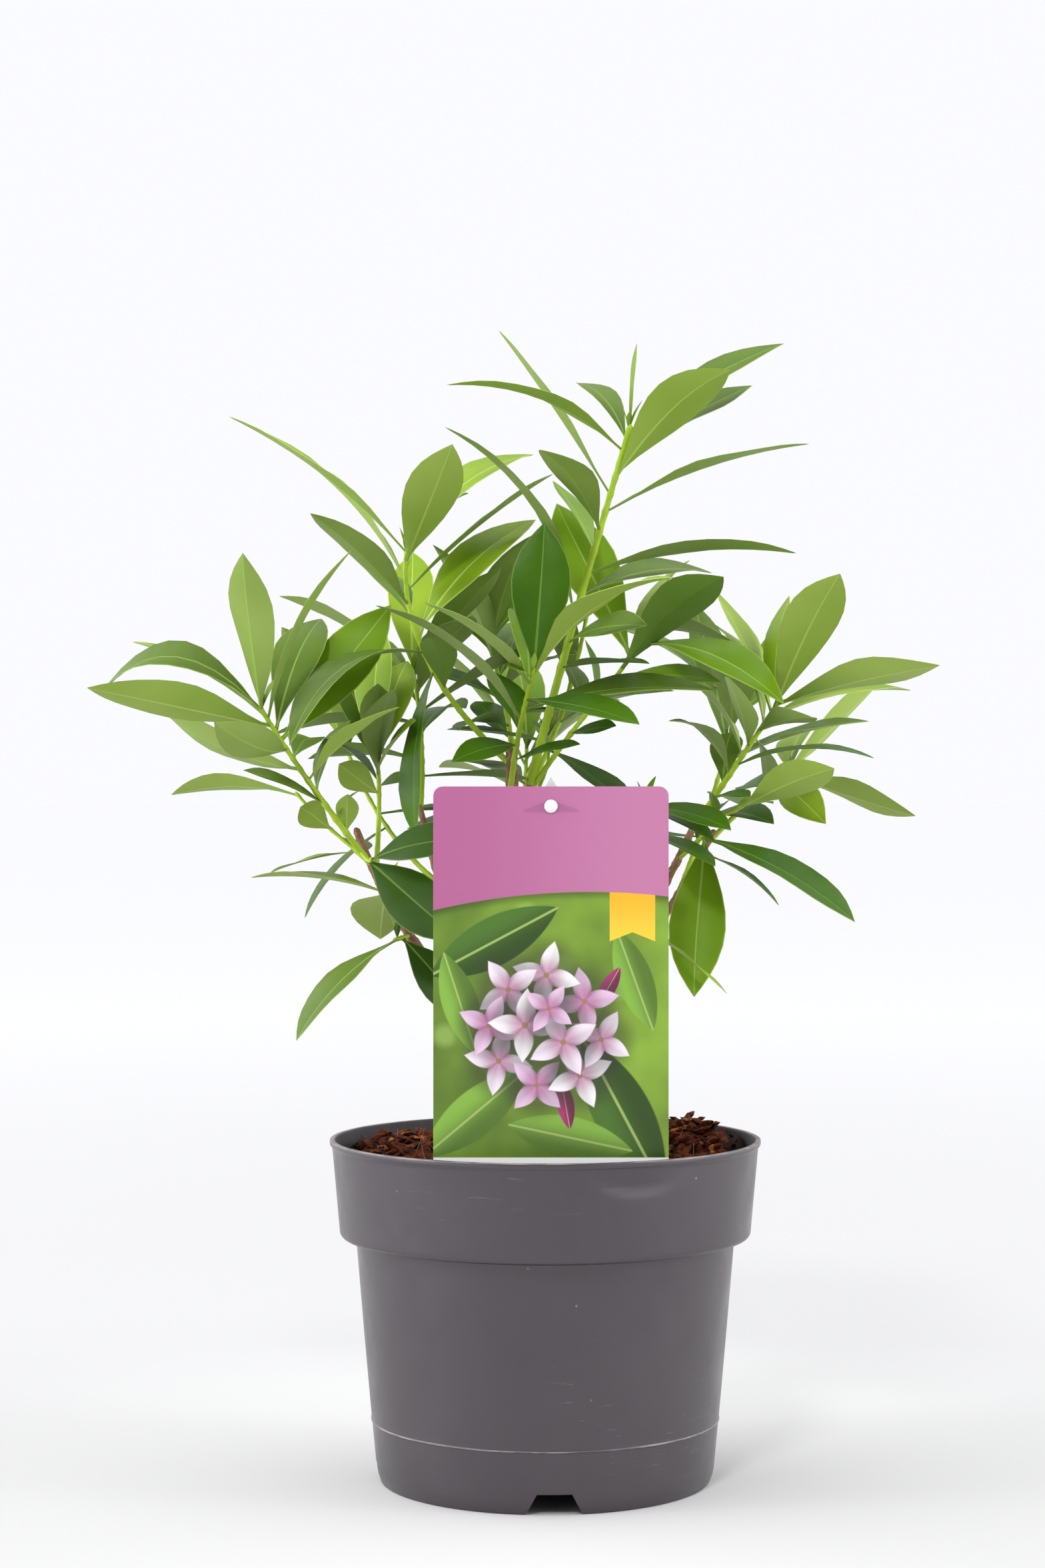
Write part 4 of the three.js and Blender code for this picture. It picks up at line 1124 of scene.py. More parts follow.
# %% Shoots
# A shoot leaves its bough at a share of its length, and is bare up to a share of its own. Each leaf has a
# bearing, rise, length and roll in degrees and millimetres. Some go on to how far the midrib arches and
# how broad the leaf is for its length. These leaves are placed one by one, not grown by a rule.
SHOOTS = {
  "foliage_leader": {
    "from": "bough_centre_fork", "at": 0.93, "tip": [37, -8, 462], "bow": [-2, -1, -5], "bare": 0.36,
    "radii": [2.2, 1.25],
    "leaves": [
      [310, 0, 58, 0], [305, 5, 58, 40], [210, 51, 104, -15, 0.12, 0.6], [30, 10, 70, 20],
      [355, 5, 92, -10, 0.06, 0.75], [110, 35, 62, 30], [245, 25, 70, -10], [355, 18, 94, 0, 0.05, 0.65],
      [161, 55, 91, 17, 0.01, 0.65], [316, 32, 78, -30, 0.12], [20, 30, 74, 20],
      [205, 16, 88, 0, 0.1, 0.7], [120, 35, 52, 0, 0.12], [5, 30, 80, 30, 0.05, 0.8],
      [0, 85, 38, -20, 0, 0.6],
    ],
  },
  "foliage_centre": {
    "from": "bough_centre", "at": 0.86, "tip": [-5, -34, 354], "bow": [-1, 0, 2], "bare": 0.25,
    "radii": [2, 1.2],
    "leaves": [
      [320, 10, 38, 30], [230, -10, 44, -40], [105, 30, 56, 10], [205, 35, 84, -10], [350, 5, 84, 20],
      [315, -10, 68, 20], [100, 40, 60, 30], [230, 25, 76, -20], [230, 15, 18, -40],
      [315, 25, 90, 10, 0.1], [67, 76, 67, 20, 0, 1.25],
    ],
  },
  "foliage_upper_left": {
    "from": "bough_centre", "at": 0.955, "tip": [-61, -8, 408], "bow": [-14, 2, 0], "bare": 0.35,
    "radii": [2.1, 1.2],
    "leaves": [
      [262, 38, 38, 0, 0.1, 1.4], [260, -65, 82, 50, 0.06, 0.8], [220, -30, 84, 0, 0.18], [35, 40, 84, 20],
      [115, 25, 62, 10], [230, 30, 72, 0], [25, 34, 92, -15, 0.03, 0.6], [145, 45, 76, 30],
      [60, 35, 66, -20], [290, 35, 78, -10, 0], [35, 35, 84, 10, 0.12], [200, 35, 98, -12, 0.05, 0.65],
    ],
  },
  "foliage_left_low": {
    "from": "bough_left", "at": 0.88, "tip": [-122, -40, 338], "bow": [-2, -4, 1], "bare": 0.2,
    "radii": [2.1, 1.2],
    "leaves": [
      [280, 70, 18, -10, 0.05, 1.4], [50, 50, 20, -20], [215, 20, 44, -30], [70, 40, 50, -30],
      [320, 30, 62, 10], [155, 20, 72, 40, -0.06], [80, 10, 52, 10], [245, 10, 62, 40, -0.1],
      [38, 46, 84, 45, -0.05], [65, 40, 72, 10, 0.12], [210, 10, 86, 30, 0], [320, 55, 86, 34, 0.06, 0.75],
      [150, 25, 78, 0], [165, 5, 76, -30, 0.3], [265, 55, 78, -30, 0],
    ],
    "twigs": [
      {
        "at": 0.05, "tip": [-110, 12, 301], "bow": [-1, 3, -1], "bare": 0.47,
        "leaves": [[235, 25, 24, 59, 0.05, 1.5], [155, 0, 66, 20]],
      },
      {
        "at": 0.08, "tip": [-76, -20, 273], "bow": [1, -1, -2], "bare": 0.44,
        "leaves": [[317, -30, 68, 60, 0.06, 1.15], [322, 9, 60, 60]],
      },
    ],
  },
  "foliage_left_upright": {
    "from": "bough_left", "at": 0.84, "tip": [-75, 16, 317], "bow": [1, 4, 5], "bare": 0.6,
    "radii": [1.9, 1.1],
    "leaves": [
      [215, 33, 25, 69, 0.05, 1.5], [70, 5, 30, -40], [125, 25, 44, 20], [280, 40, 58, 30],
      [115, 45, 66, 0], [295, 25, 48, 50], [273, 50, 46, 0, 0.05, 1.1], [100, 50, 66, 20],
      [70, 45, 62, 10], [75, 55, 66, -30],
    ],
    "twigs": [
      {
        "at": 0.06, "tip": [-84, 7, 276], "bow": [-1, 2, 0], "bare": 0.6,
        "leaves": [[100, 8, 50, 10], [138, -11, 57, -10, 0.03, 0.5]],
      },
    ],
  },
  "foliage_left_behind": {
    "from": "bough_left", "at": 0.76, "tip": [-71, 8, 258], "bow": [0, 1, 0], "bare": 0.6,
    "radii": [1.5, 1.2], "leaves": [[95, -22, 62, 0, 0.05, 1.5], [160, 5, 66, 0, 0.05]],
  },
  "foliage_left_under": {
    "from": "bough_left", "at": 0.6, "tip": [-65, -11, 238], "bow": [0, -1, 0], "bare": 0.6,
    "radii": [1.5, 1.2], "leaves": [[325, -42, 54, 50, 0.06, 1.2], [219, -38, 68, 0]],
  },
  "foliage_mid_right": {
    "from": "bough_centre_fork", "at": 0.8, "tip": [43, 6, 368], "bow": [-6, 0, -6], "bare": 0.49,
    "radii": [1.9, 1.1],
    "leaves": [
      [305, 5, 34, 40], [105, 35, 50, 30], [105, 55, 34, 50], [340, 0, 52, 30], [310, 30, 76, -30, 0.12],
      [130, 55, 88, -30], [60, 40, 66, -30], [320, -20, 82, 20, 0.11],
    ],
  },
  "foliage_small_centre": {
    "from": "bough_centre_fork", "at": 0.55, "tip": [0, 22, 326], "bow": [5, 5, 3], "bare": 0.8,
    "radii": [1.4, 0.9],
    "leaves": [[310, -25, 64, 0], [250, 25, 22, -50], [75, 25, 26, -30], [85, 30, 24, -50]],
  },
  "foliage_right": {
    "from": "bough_right", "at": 0.97, "tip": [101, -22, 341], "bow": [0, 0, 0], "bare": 0.27,
    "radii": [2, 1.2],
    "leaves": [
      [295, 0, 32, 20], [80, 30, 48, 0], [225, 30, 46, -10, 0.16], [320, 2, 72, 0, 0.08, 0.7],
      [115, 35, 60, 50], [255, 30, 58, -40], [80, -25, 50, 50], [290, 5, 54, -20], [115, 45, 64, 30],
      [25, 10, 74, 10], [120, 50, 76, 30], [295, 45, 78, -20], [85, 45, 62, -50], [320, 10, 84, -20],
    ],
    "twigs": [
      {
        "at": 0.1, "tip": [86, -12, 296], "bow": [1, 1, -1], "bare": 0.32,
        "leaves": [[260, 40, 16, -40], [55, 5, 34, 10], [305, 15, 64, -40]],
      },
    ],
  },
  "foliage_right_inner": {
    "from": "bough_right", "at": 0.7, "tip": [43, -14, 296], "bow": [-3, 4, 6], "bare": 0.6,
    "radii": [1.5, 1.1], "leaves": [[305, -15, 54, 0], [310, -15, 48, 0], [310, -10, 56, 20]],
  },
  "foliage_right_low": {
    "from": "bough_right", "at": 0.86, "tip": [70, -10, 284], "bow": [0, -1, 0], "bare": 0.4,
    "radii": [1.5, 1.2],
    "leaves": [
      [305, -20, 66, -20, 0.06, 0.5], [70, 20, 50, -20], [325, -25, 84, 10, 0.05],
      [258, -66, 76, -12, 0, 1.05],
    ],
  },
  "foliage_right_under": {
    "from": "bough_right", "at": 0.5, "tip": [43, -29, 244], "bow": [0, -2, -2], "bare": 0.7,
    "radii": [1.5, 1.2], "leaves": [[60, -10, 55, 20], [312, -28, 56, -25, 0.02, 0.45]],
  },
  "foliage_back_right": {
    "from": "bough_back_right", "at": 0.96, "tip": [113, 62, 311], "bow": [2, 0, 4], "bare": 0.7,
    "radii": [1.8, 1.1],
    "leaves": [
      [100, 0, 50, -30], [290, -20, 56, 40], [40, 35, 82, -50, 0], [315, -14, 77, -40, 0, 0.9],
      [75, 20, 70, -30],
    ],
  },
}

# Shoots at the back take their leaves from a rule: count of leaves, and the first one's bearing.
BACK_SHOOTS = {
  "foliage_back_left": {
    "from": "bough_back_left", "at": 0.96, "tip": [-60, 54, 357], "bow": [2, 0, 0], "bare": 0.25,
    "radii": [1.9, 1.1], "count": 12, "start": 20,
  },
  "foliage_back_left_side": {
    "from": "bough_back_left", "at": 0.72, "tip": [-92, 78, 322], "bow": [-3, 2, -5], "bare": 0.4,
    "radii": [1.8, 1.1], "count": 10, "start": 75,
  },
  "foliage_back_centre": {
    "from": "bough_back", "at": 0.96, "tip": [-26, 66, 372], "bow": [2, 2, 0], "bare": 0.25,
    "radii": [1.9, 1.1], "count": 12, "start": 110,
  },
  "foliage_back_high": {
    "from": "bough_back", "at": 0.86, "tip": [22, 62, 398], "bow": [4, 2, -6], "bare": 0.35,
    "radii": [2, 1.1], "count": 12, "start": 200,
  },
  "foliage_back_low": {
    "from": "bough_back", "at": 0.7, "tip": [-8, 112, 322], "bow": [0, 5, -6], "bare": 0.35,
    "radii": [1.9, 1.1], "count": 11, "start": 300,
  },
  "foliage_back_right_side": {
    "from": "bough_back_right", "at": 0.78, "tip": [92, 84, 346], "bow": [0, 4, -6], "bare": 0.35,
    "radii": [1.9, 1.1], "count": 11, "start": 160,
  },
}


def spread(index):
    """A number from 0 to 1 that differs well from leaf to leaf, without chance."""
    return (index * 0.618034) % 1


def lerp(low, high, share):
    return low + (high - low) * share


GOLDEN_ANGLE = 137.5
TWIG_RADII = (1.3, 1)


def rule_leaves(count, start):
    """Leaves that turn on by the golden angle and rise towards the tip."""
    leaves = []
    for index in range(count):
        share = index / (count - 1)
        rise = lerp(-8, 52, share) + 16 * (spread(index + 3) - 0.5)
        length = lerp(54, 76, math.sin(share * 2.2))
        leaves.append(((start + index * GOLDEN_ANGLE) % 360, rise, length, 40 * (spread(index + 7) - 0.5)))
    return leaves


def stems_of(shoot):
    """The stems of one mass, its shoot and then its twigs, each as (curve, radii, bare share, leaves)."""
    curve = bent_curve(curves[shoot["from"]](shoot["at"]), shoot["tip"], shoot["bow"])
    leaves = shoot["leaves"] if "leaves" in shoot else rule_leaves(shoot["count"], shoot["start"])
    stems = [(curve, shoot["radii"], shoot["bare"], leaves)]
    for twig in shoot.get("twigs", ()):
        twig_curve = bent_curve(curve(twig["at"]), twig["tip"], twig["bow"])
        stems.append((twig_curve, TWIG_RADII, twig["bare"], twig["leaves"]))
    return stems


masses = {name: stems_of(shoot) for name, shoot in {**SHOOTS, **BACK_SHOOTS}.items()}
print("masses:", len(masses), "with", sum(len(stems) for stems in masses.values()), "stems")

# %% [markdown]
# ## Bark
# The trunk and boughs are old wood: brown, dull, finely cracked along their length, and ringed with the
# scars of fallen leaves. Separate tubes would show a seam at each fork, so the tubes are first made by one
# tree of nodes that follows the curves, then fused by the Remesh modifier, and a second tree gives the
# fused skin its relief.


# %% A tree that turns lines into round stems
def make_stem_tree():
    tree, given, out = geometry_tree(
        "round_stems", Sides="Int", Relief="Float", Relief_Scale="Float", Material="Material"
    )
    lines = first_of(tree, "GeometryNodeMeshToCurve", {"Mesh": given["Geometry"]})
    ring = first_of(tree, "GeometryNodeCurvePrimitiveCircle", {"Resolution": given["Sides"], "Radius": 1.0})
    tube = {"Curve": lines, "Profile Curve": ring, "Scale": named(tree, "thick"), "Fill Caps": True}
    stems = first_of(tree, "GeometryNodeCurveToMesh", tube)
    rough = cloudy(tree, first_of(tree, "GeometryNodeInputPosition"), given["Relief Scale"], 2.0)
    depth = times(tree, minus(tree, rough, 0.5), given["Relief"])
    finish_tree(tree, pushed_out(tree, stems, depth), out, given["Material"])
    return tree


def line_mesh(name, lines):
    """Lines of (place, radius) in millimetres as loose edges, with the radius kept on each point."""
    verts, edges, thick = [], [], []
    for line in lines:
        edges += [(len(verts) + i, len(verts) + i + 1) for i in range(len(line) - 1)]
        verts += [place * MM for place, _ in line]
        thick += [radius * MM for _, radius in line]
    mesh = mesh_of(name, verts, [], edges)
    mesh.attributes.new("thick", "FLOAT", "POINT").data.foreach_set("value", thick)
    return mesh


BLUNT_TIP = ((0.6, 0.85), (1, 0.4))


def limb_line(curve, radius_at, steps, run_on=0):
    """Points along a curve with their radii. run_on carries it so many millimetres on to a blunt tip."""
    places = [curve(step / steps) for step in range(steps + 1)]
    travelled = [0]
    for before, after in zip(places, places[1:]):
        travelled.append(travelled[-1] + (after - before).length)
    line = [(place, radius_at(far / travelled[-1], far)) for place, far in zip(places, travelled)]
    if run_on:
        ahead = (places[-1] - places[-2]).normalized()
        line += [(places[-1] + ahead * run_on * far, line[-1][1] * wide) for far, wide in BLUNT_TIP]
    return line


stem_tree = make_stem_tree()
print("stem tree is ready")


# %% Lay out the old wood
def ringed(far, gap, sharpness):
    """Peaks from 0 to 1, one every gap millimetres: the rings that fallen leaves have left."""
    return max(0, math.cos(far * 2 * math.pi / gap)) ** sharpness


def trunk_radius(share, far):
    return lerp(TRUNK_FOOT, TRUNK_TIP, share) + TRUNK_FLARE * math.exp(-far / FLARE_HEIGHT)


def bough_line(curve, foot_radius, tip_radius):
    def radius_at(share, far):
        return lerp(foot_radius, tip_radius, share) * (1 + 0.09 * ringed(far, 9.3, 12))

    return limb_line(curve, radius_at, 110, 2)


wood_lines = [limb_line(curves["trunk"], trunk_radius, 30)]
wood_lines += [bough_line(curves[name], *radii) for name, (*_, radii) in BOUGHS.items()]
wood_lines = new_object("wood_lines", line_mesh("wood_lines", wood_lines))
print("old wood:", len(wood_lines.data.vertices), "points")


# %% Bark and the fused wood
VOXEL = 0.65 * MM


def make_bark():
    material, tree, shader, place = toned_material(
        "old_bark",
        (0.33, 0.18, 0.1),
        (0.19, 0.10, 0.06),
        160,
        1.0,
        1600,
        (0.65, 0.9),
        (1, 1, 0.25),
        (0.5, 0.0005),
        Specular_IOR_Level=0.3,
    )
    spots = between(tree, cloudy(tree, place, 420.0, 1.0), 0.6, 0.68)
    lay_over(tree, shader, times(tree, spots, 0.5), (0.5, 0.36, 0.23))
    return material


bark = make_bark()
tubes = run_tree(wood_lines, stem_tree, "wood_tubes", Sides=12, Relief=0.0, Relief_Scale=100.0, Material=bark)
remesh = tubes.modifiers.new("fuse", "REMESH")
remesh.mode = "VOXEL"
remesh.voxel_size = VOXEL
remesh.use_smooth_shade = True
fused = new_object("fused_wood", baked(tubes))
print("fused wood:", len(fused.data.polygons), "faces")


# %% Relief on the fused wood
def make_relief_tree():
    """Cracks that run along the limbs: noise that is stretched upwards pushes the skin in and out."""
    tree, given, out = geometry_tree("bark_relief", Depth="Float", Scale="Float", Material="Material")
    stretched = vectors(tree, "MULTIPLY", first_of(tree, "GeometryNodeInputPosition"), (1, 1, 0.3))
    cracks = cloudy(tree, stretched, given["Scale"], 3.0, 0.6)
    depth = times(tree, minus(tree, cracks, 0.55), given["Depth"])
    finish_tree(tree, pushed_out(tree, given["Geometry"], depth), out, given["Material"])
    return tree


wood = run_tree(fused, make_relief_tree(), "trunk_and_boughs", Depth=1.6 * MM, Scale=480.0, Material=bark)
wood.data.shade_smooth()
remove(wood_lines, tubes, fused)
stand_for(wood, "bark", *curves)

# %% [markdown]
# ## Green shoots
# This year's wood is green and nearly smooth, and thickens a little where each leaf sits. The same tree of
# nodes makes it, from lines whose radius swells at the leaf seats.


# %% Leaf seats
def leaf_seats(curve, bare, count):
    """Where the leaves of a stem sit: they crowd towards its tip."""
    seats = []
    for index in range(count):
        share = index / (count - 1) if count > 1 else 1
        seats.append(curve(bare + (1 - bare) * (1 - (1 - share) ** 1.6)))
    return seats


def shoot_line(curve, radii, bare, leaves):
    """A stem's line, with a swelling under each leaf and a ring at each scar of a fallen one."""
    seats = leaf_seats(curve, bare, len(leaves))
    line = limb_line(curve, lambda share, far: lerp(*radii, share), 90, 2)
    length = sum((after[0] - before[0]).length for before, after in zip(line, line[1:]))
    swollen, far = [], 0.0
    for index, (place, radius) in enumerate(line):
        if index:
            far += (place - line[index - 1][0]).length
        nearest = min((place - seat).length for seat in seats)
        swell = 0.24 * math.exp(-((nearest / 1.5) ** 2))
        if far < bare * length:
            swell += 0.16 * ringed(far, 6.5, 14)
        swollen.append((place, radius * (1 + swell)))
    return swollen


def slimmed(mass, radii):
    """All shoots are slimmer than the solids that carry their leaves, and the leader the least."""
    share = 0.9 if mass == "foliage_leader" else 0.7
    return [radius * share for radius in radii]


shoot_lines = [
    shoot_line(curve, slimmed(mass, radii), bare, values)
    for mass, stems in masses.items()
    for curve, radii, bare, values in stems
]
green_lines = new_object("green_lines", line_mesh("green_lines", shoot_lines))
print("shoots:", len(shoot_lines))

# %% Green bark
green_bark = toned_material(
    "green_bark",
    (0.31, 0.47, 0.02),
    (0.42, 0.58, 0.04),
    60,
    0.8,
    1500,
    (0.42, 0.6),
    (1, 1, 0.3),
    (0.2, 0.0004),
    Specular_IOR_Level=0.25,
)[0]
relief = {"Relief": 0.25 * MM, "Relief_Scale": 500.0}
shoots = run_tree(green_lines, stem_tree, "green_shoots", Sides=10, Material=green_bark, **relief)
remove(green_lines)
stand_for(shoots, "foliage", *masses)

# %% [markdown]
# ## Leaves
# A daphne leaf is long and narrow, widest past its middle, leathery, folded a little along its pale midrib,
# with a thin pale margin and a duller underside. The blade's outline, fold and midrib are real mesh, so they
# show from every side and stay in place. One leaf is built once at unit size, and a tree of nodes sets it on
# every leaf seat with its own turn and size, then arches, sways and waves each blade.

# %% Which way each leaf goes
LEAF_WIDTH, SHORT_WIDTH, SHORT_LENGTH = 0.31, 0.2, 35
EIGHTHS = [way * math.pi / 4 for way in range(8)]
RING_STEPS = (4, 8, 12, 17, 23, 30, 42)
NUDGES = [(0, 0)] + [(ring * math.cos(way), ring * math.sin(way)) for ring in RING_STEPS for way in EIGHTHS]
FOUND_WITHIN = 0.05
SHORTENED = {("foliage_back_right_side", 0, 7): 0.8, ("foliage_back_right_side", 0, 9): 0.85}


def leaf_axes(bearing, rise, roll):
    """Unit vectors along the leaf, across it and out of its upper face."""
    b, r, turn = (math.radians(angle) for angle in (bearing, rise, roll))
    along = Vector((math.cos(r) * math.cos(b), math.cos(r) * math.sin(b), math.sin(r)))
    upright = Vector((-math.sin(r) * math.cos(b), -math.sin(r) * math.sin(b), math.cos(r)))
    level = Vector((-math.sin(b), math.cos(b), 0))
    across = level * math.cos(turn) + upright * math.sin(turn)
    return along, across, upright * math.cos(turn) - level * math.sin(turn)


def corner_tree(name):
    """The corners of one of the frame's solids, for looking up the nearest one."""
    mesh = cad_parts[name].data
    found = kdtree.KDTree(len(mesh.vertices))
    for vertex in mesh.vertices:
        found.insert(vertex.co * 1000, vertex.index)
    found.balance()
    return found


def settled(foot, bearing, rise, length, corners):
    """The turn and lift by which the frame's leaf clears its neighbours, or None where there is none."""
    for turn, lift in NUDGES:
        along = leaf_axes(bearing + turn, rise + lift, 0)[0]
        if corners.find(foot + along * length)[2] < FOUND_WITHIN:
            return turn, lift
    return None


leaves, skipped = [], 0
for mass, stems in masses.items():
    corners = corner_tree(mass)
    for stem, (curve, radii, bare, values) in enumerate(stems):
        seats = leaf_seats(curve, bare, len(values))
        for index, (bearing, rise, length, roll, *more) in enumerate(values):
            nudge = settled(seats[index], bearing, rise, length, corners)
            if nudge is None:
                skipped += 1
                continue
            arch = more[0] if more else 0.06 + 0.07 * (spread(index) - 0.5)
            broad = more[1] if len(more) > 1 else 1
            share = index / (len(values) - 1)
            known = (mass, stem, index)
            length *= SHORTENED.get(known, 1)
            shape = (bearing + nudge[0], rise + nudge[1], length, roll, arch, broad)
            leaves.append({"known": known, "seat": seats[index], "shape": shape, "share": share})
print("leaves:", len(leaves), "found in the frame,", skipped, "left out there")

# %% Young leaves at the tips
# Between the last full leaves of a shoot, a few small narrow ones are still unfolding.
TIP_SEAT = 0.995
for mass, stems in masses.items():
    curve = stems[0][0]
    for index in range(3):
        shape = (index * GOLDEN_ANGLE + 40 * spread(len(leaves)), 66 + 7 * index, 15 - 3 * index, 10, 0.03, 1)
        leaves.append({"known": (mass, 0, "tip"), "seat": curve(TIP_SEAT), "shape": shape, "share": 1.0})
print("with young ones:", len(leaves))


# %% One leaf at unit size
LEAF_ROWS = (0, 0.06, 0.15, 0.26, 0.37, 0.48, 0.59, 0.69, 0.79, 0.87, 0.94, 0.98)
FOLD, HALF_THICK = 0.2, 0.022
UPPER, UNDER, RIB = range(3)
UPPER_PARTS, LOWER_PARTS = (RIB, UPPER, RIB, UPPER, RIB), (UNDER, RIB, UNDER)


def half_width(share):
    """The blade's half width as a share of its widest, at a share of the length."""
    def shape(s):
        return s**1.5 * (1 - s) ** 1.05

    return max(shape(share) / shape(1.5 / 2.55), 0.085 * (1 - share))


def unit_leaf():
    """A closed leaf along +X, one long and one in half width. Each point keeps its share along and across."""
    made = bmesh.new()
    along = made.verts.layers.float.new("along")
    across = made.verts.layers.float.new("across")
    part = made.faces.layers.int.new("part")

    def point(s, y, z):
        vert = made.verts.new((s, y, z))
        vert[along] = s
        vert[across] = y / max(half_width(s), 1e-6)
        return vert

    rows = []
    for s in LEAF_ROWS:
        wide = half_width(s)
        rib = min(0.05 * (1 - 0.75 * s), 0.4 * wide)
        rim = wide - min(0.035, 0.3 * wide)
        places = ((-wide, 0), (-rim, 1), (-rib, 0.7), (rib, 0.7), (rim, 1), (wide, 0))
        upper = [point(s, y, FOLD * abs(y) + HALF_THICK * plump) for y, plump in places]
        keel = -0.05 * (1 - s) - HALF_THICK
        lower = [upper[0], point(s, -rib, FOLD * rib + keel), point(s, rib, FOLD * rib + keel), upper[-1]]
        rows.append((upper, lower))
    tip = point(1, 0, 0)

    def skin(near, far, parts, flip):
        for column, kind in enumerate(parts):
            corners = [near[column], near[column + 1]]
            corners += [far[column + 1], far[column]] if far else [tip]
            face = made.faces.new(corners[::-1] if flip else corners)
            face[part] = kind
            face.smooth = True

    for (upper, lower), (far_upper, far_lower) in zip(rows, rows[1:] + [(None, None)]):
        skin(upper, far_upper, UPPER_PARTS, True)
        skin(lower, far_lower, LOWER_PARTS, False)
    upper, lower = rows[0]
    made.faces.new([*upper, *lower[-2:0:-1]])[part] = RIB
    bmesh.ops.recalc_face_normals(made, faces=made.faces)
    for edge in made.edges:  # the outline is a sharp edge between the two faces of the blade
        edge.smooth = not all(vert[along] == 1 or abs(vert[across]) > 0.99 for vert in edge.verts)
    mesh = bpy.data.meshes.new("unit_leaf")
    made.to_mesh(mesh)
    made.free()
    return mesh


leaf_pattern = new_object("unit_leaf", unit_leaf())
print("one leaf:", len(leaf_pattern.data.polygons), "faces")


# %% A tree that sets the leaves
ROWS = ("turn", "size", "lift", "sway", "ruffle")


def make_leaf_tree():
    tree, given, out = geometry_tree(
        "set_leaves",
        Leaf="Object",
        Waves="Float",
        Upper_Material="Material",
        Under_Material="Material",
        Rib_Material="Material",
    )
    turn, size, lift, sway, ruffle = (named(tree, row, "FLOAT_VECTOR") for row in ROWS)
    copies = copies_of(tree, shape_of(tree, given["Leaf"]), given["Geometry"], turn, Scale=size)
    geometry = first_of(tree, "GeometryNodeRealizeInstances", {"Geometry": copies})
    along, across = named(tree, "along"), named(tree, "across")
    hump = times(tree, times(tree, along, 4.0), minus(tree, 1.0, along))
    bend = vectors(tree, "ADD", scaled(tree, lift, hump), scaled(tree, sway, times(tree, hump, along)))
    phase = plus(tree, times(tree, along, given["Waves"]), named(tree, "phase"))
    side = times(tree, maths(tree, "SIGN", across), 1.3)
    ripple = maths(tree, "SINE", plus(tree, phase, side))
    reach = times(tree, maths(tree, "ABSOLUTE", across), hump)
    wave = scaled(tree, ruffle, times(tree, ripple, reach))
    geometry = moved(tree, geometry, vectors(tree, "ADD", bend, wave))
    kind = named(tree, "part", "INT")
    for value, label in ((UPPER, "Upper Material"), (UNDER, "Under Material"), (RIB, "Rib Material")):
        pair = {2: kind, 3: value}
        chosen = first_of(tree, "FunctionNodeCompare", pair, data_type="INT", operation="EQUAL")
        paint = {"Geometry": geometry, "Selection": chosen, "Material": given[label]}
        geometry = first_of(tree, "GeometryNodeSetMaterial", paint)
    tree.links.new(geometry, out)
    return tree


def seat_mesh(name, chosen):
    """A point for each leaf, which carries the leaf's turn, size, arch, sway, ruffle and phase."""
    mesh = mesh_of(name, [leaf["seat"] * MM for leaf in chosen], [])
    rows = {row: [] for row in ROWS}
    for index, leaf in enumerate(chosen):
        bearing, rise, length, roll, arch, broad = leaf["shape"]
        along, across, normal = leaf_axes(bearing, rise, roll)
        half = broad * length * (LEAF_WIDTH + SHORT_WIDTH * max(0, 1 - length / SHORT_LENGTH)) / 2
        if length < 16:
            half *= 0.7
        rows["turn"].extend(Matrix((along, across, normal)).transposed().to_euler())
        rows["size"].extend((length * MM, half * MM, half * MM))
        rows["lift"].extend(normal * arch * length * MM)
        rows["sway"].extend(across * (spread(index + 2) - 0.5) * 0.05 * length * MM)
        rows["ruffle"].extend(normal * (0.3 + 0.7 * spread(index + 5)) * 0.013 * length * MM)
    for key, values in rows.items():
        mesh.attributes.new(key, "FLOAT_VECTOR", "POINT").data.foreach_set("vector", values)
    phases = [6.28 * spread(index) for index in range(len(chosen))]
    mesh.attributes.new("phase", "FLOAT", "POINT").data.foreach_set("value", phases)
    return mesh


leaf_tree = make_leaf_tree()
print("leaf tree is ready")

# %% [markdown]
# Young leaves are a light yellow green, and they darken with age. A pattern laid over so many joined
# leaves would not keep its place on each, so each tint is a plain colour with its own piece, dealt out by
# how high a leaf sits on its spray and how old and how shaded that spray is: the darker tints are painted
# shade as well as age. The few leaves that stand out from their neighbours are named, partly for their own
# colour and partly for the light or shade on them, as painted light and painted shade. A blade is too thin
# for light to scatter far in it, so the glow of light shining through it is painted into the tints.

# %% Leaf tints
TINTS = {  # upper face in two tones, underside in two tones, midrib and margin
    "bright": [
        (0.18, 0.31, 0.008), (0.28, 0.41, 0.022), (0.25, 0.37, 0.05), (0.31, 0.43, 0.08), (0.42, 0.54, 0.11),
    ],
    "middle": [
        (0.11, 0.23, 0.004), (0.17, 0.3, 0.01), (0.21, 0.31, 0.06), (0.26, 0.36, 0.085), (0.28, 0.42, 0.07),
    ],
    "dull": [
        (0.08, 0.15, 0.012), (0.12, 0.2, 0.022), (0.18, 0.26, 0.06), (0.23, 0.31, 0.09), (0.23, 0.34, 0.07),
    ],
    "deep": [
        (0.032, 0.1, 0.001), (0.06, 0.15, 0.003), (0.11, 0.2, 0.025), (0.15, 0.26, 0.04), (0.12, 0.23, 0.03),
    ],
    # dark is painted shade, for leaves that stand in the shadow of others
    "dark": [
        (0.018, 0.05, 0.002), (0.03, 0.08, 0.003), (0.06, 0.1, 0.03), (0.09, 0.14, 0.04), (0.1, 0.18, 0.03),
    ],
}
# How much older or more shaded each spray is: its leaves darken with age and with painted shade.
OLD_AND_SHADED_SPRAYS = {
    "left_under": 1.0, "right_under": 1.0, "right_low": 0.5, "right_inner": 0.4, "back_left": 0.35,
    "back_centre": 0.35, "back_low": 0.35, "back_left_side": 0.3, "back_right_side": 0.3, "back_right": 0.3,
    "small_centre": 0.3, "left_upright": 0.25, "centre": 0.2,
}
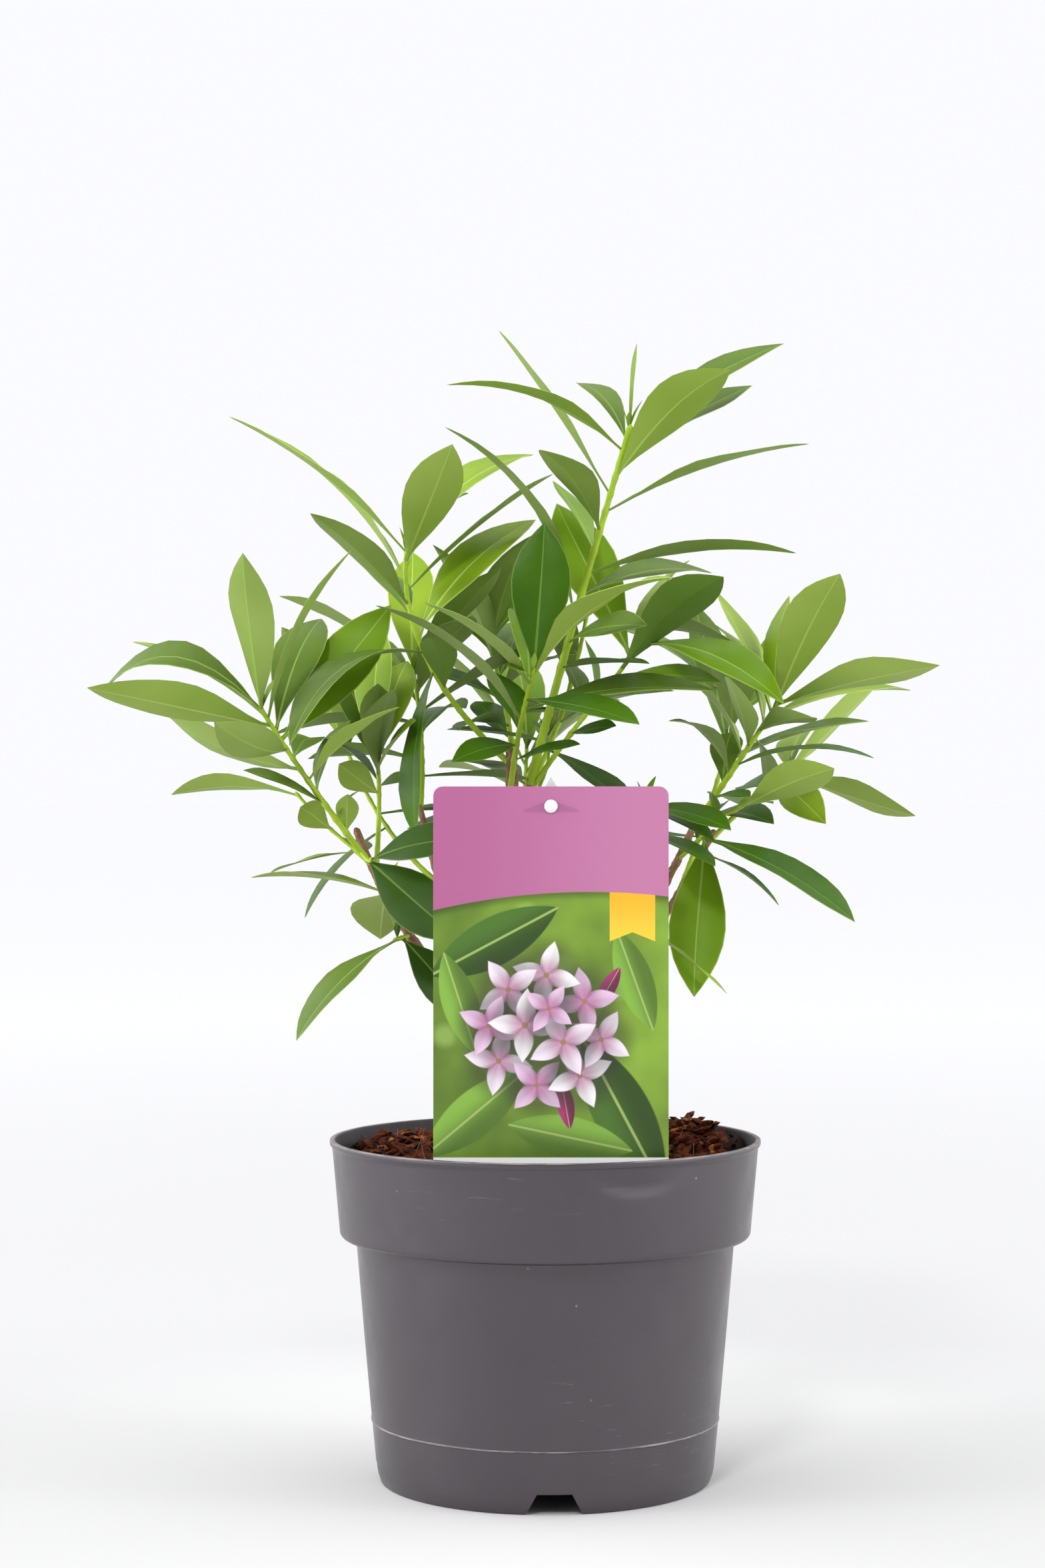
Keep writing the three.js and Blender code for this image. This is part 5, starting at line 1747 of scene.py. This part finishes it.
# These tints are partly the leaves' own colour, and partly painted light and painted shade for how each is
# lit.
OWN_AND_LIT_TINTS = {  # stem and place on it of the leaves that have a tint of their own
    "bright": {
        "upper_left": [(0, 3)], "right": [(1, 2), (0, 4), (0, 9)], "back_right": [(0, 1), (0, 2), (0, 3)],
        "right_under": [(0, 1)], "left_behind": [(0, 0), (0, 1)], "left_upright": [(1, 1), (0, 0)],
        "left_low": [(1, 0), (0, 0), (0, 4)],
    },
    "middle": {
        "left_low": [(0, 11), (0, 14)], "upper_left": [(0, 6)], "mid_right": [(0, 5), (0, 7)],
        "right_low": [(0, 3)],
    },
    "dull": {"leader": [(0, 10), (0, 12), (0, 13)], "left_low": [(0, 13), (0, 9)], "left_under": [(0, 1)]},
    "deep": {
        "centre": [(0, 10), (0, 5)], "upper_left": [(0, 1)], "right_inner": [(0, 1), (0, 2)],
        "right_low": [(0, 0), (0, 2)], "right": [(0, 3)], "mid_right": [(0, 4)],
    },
    # painted shade on leaves that stand in the shadow of others
    "dark": {"left_low": [(2, 0), (2, 1)], "left_under": [(0, 0)]},
}


def tint_of(leaf):
    mass, *place = leaf["known"]
    spray = mass.removeprefix("foliage_")
    for tint, known in OWN_AND_LIT_TINTS.items():
        if tuple(place) in known.get(spray, ()):
            return tint
    age_and_shade = 1.05 - leaf["share"] + OLD_AND_SHADED_SPRAYS.get(spray, 0)
    return "bright" if age_and_shade < 0.45 else "middle" if age_and_shade < 0.8 else "dull" if age_and_shade < 1.05 else "deep"


tinted = {tint: [leaf for leaf in leaves if tint_of(leaf) == tint] for tint in TINTS}
print("leaves by tint:", {tint: len(chosen) for tint, chosen in tinted.items()})


# %% Set the leaves
def leaf_finish(name, first, second, rough):
    return toned_material(name, first, second, 22, 1.0, 250, rough, Specular_IOR_Level=0.16)[0]


for tint, (upper_a, upper_b, under_a, under_b, rib) in TINTS.items():
    seats = new_object("leaf_seats", seat_mesh("leaf_seats", tinted[tint]))
    piece = run_tree(
        seats,
        leaf_tree,
        "leaves_" + tint,
        Leaf=leaf_pattern,
        Waves=9.0,
        Upper_Material=leaf_finish("leaf_upper_" + tint, upper_a, upper_b, (0.34, 0.46)),
        Under_Material=leaf_finish("leaf_under_" + tint, under_a, under_b, (0.5, 0.62)),
        Rib_Material=leaf_finish("leaf_rib_" + tint, rib, rib, (0.45, 0.55)),
    )
    remove(seats)
    for key in (*ROWS, "phase", "along", "across", "part"):
        if key in piece.data.attributes:
            piece.data.attributes.remove(piece.data.attributes[key])
    stand_for(piece, "foliage", *sorted({leaf["known"][0] for leaf in tinted[tint]}))
remove(leaf_pattern)

# %% [markdown]
# ## Sizes, and the end
# How far what is seen stands past the solids that carry it is printed.

# %% Write the sizes and finish
SEEN_LOW, SEEN_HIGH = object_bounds()
grown = (*(CAD_LOW - SEEN_LOW), *(SEEN_HIGH - CAD_HIGH))
print("grown past the frame by", [round(1000 * v, 1) for v in grown], "mm")
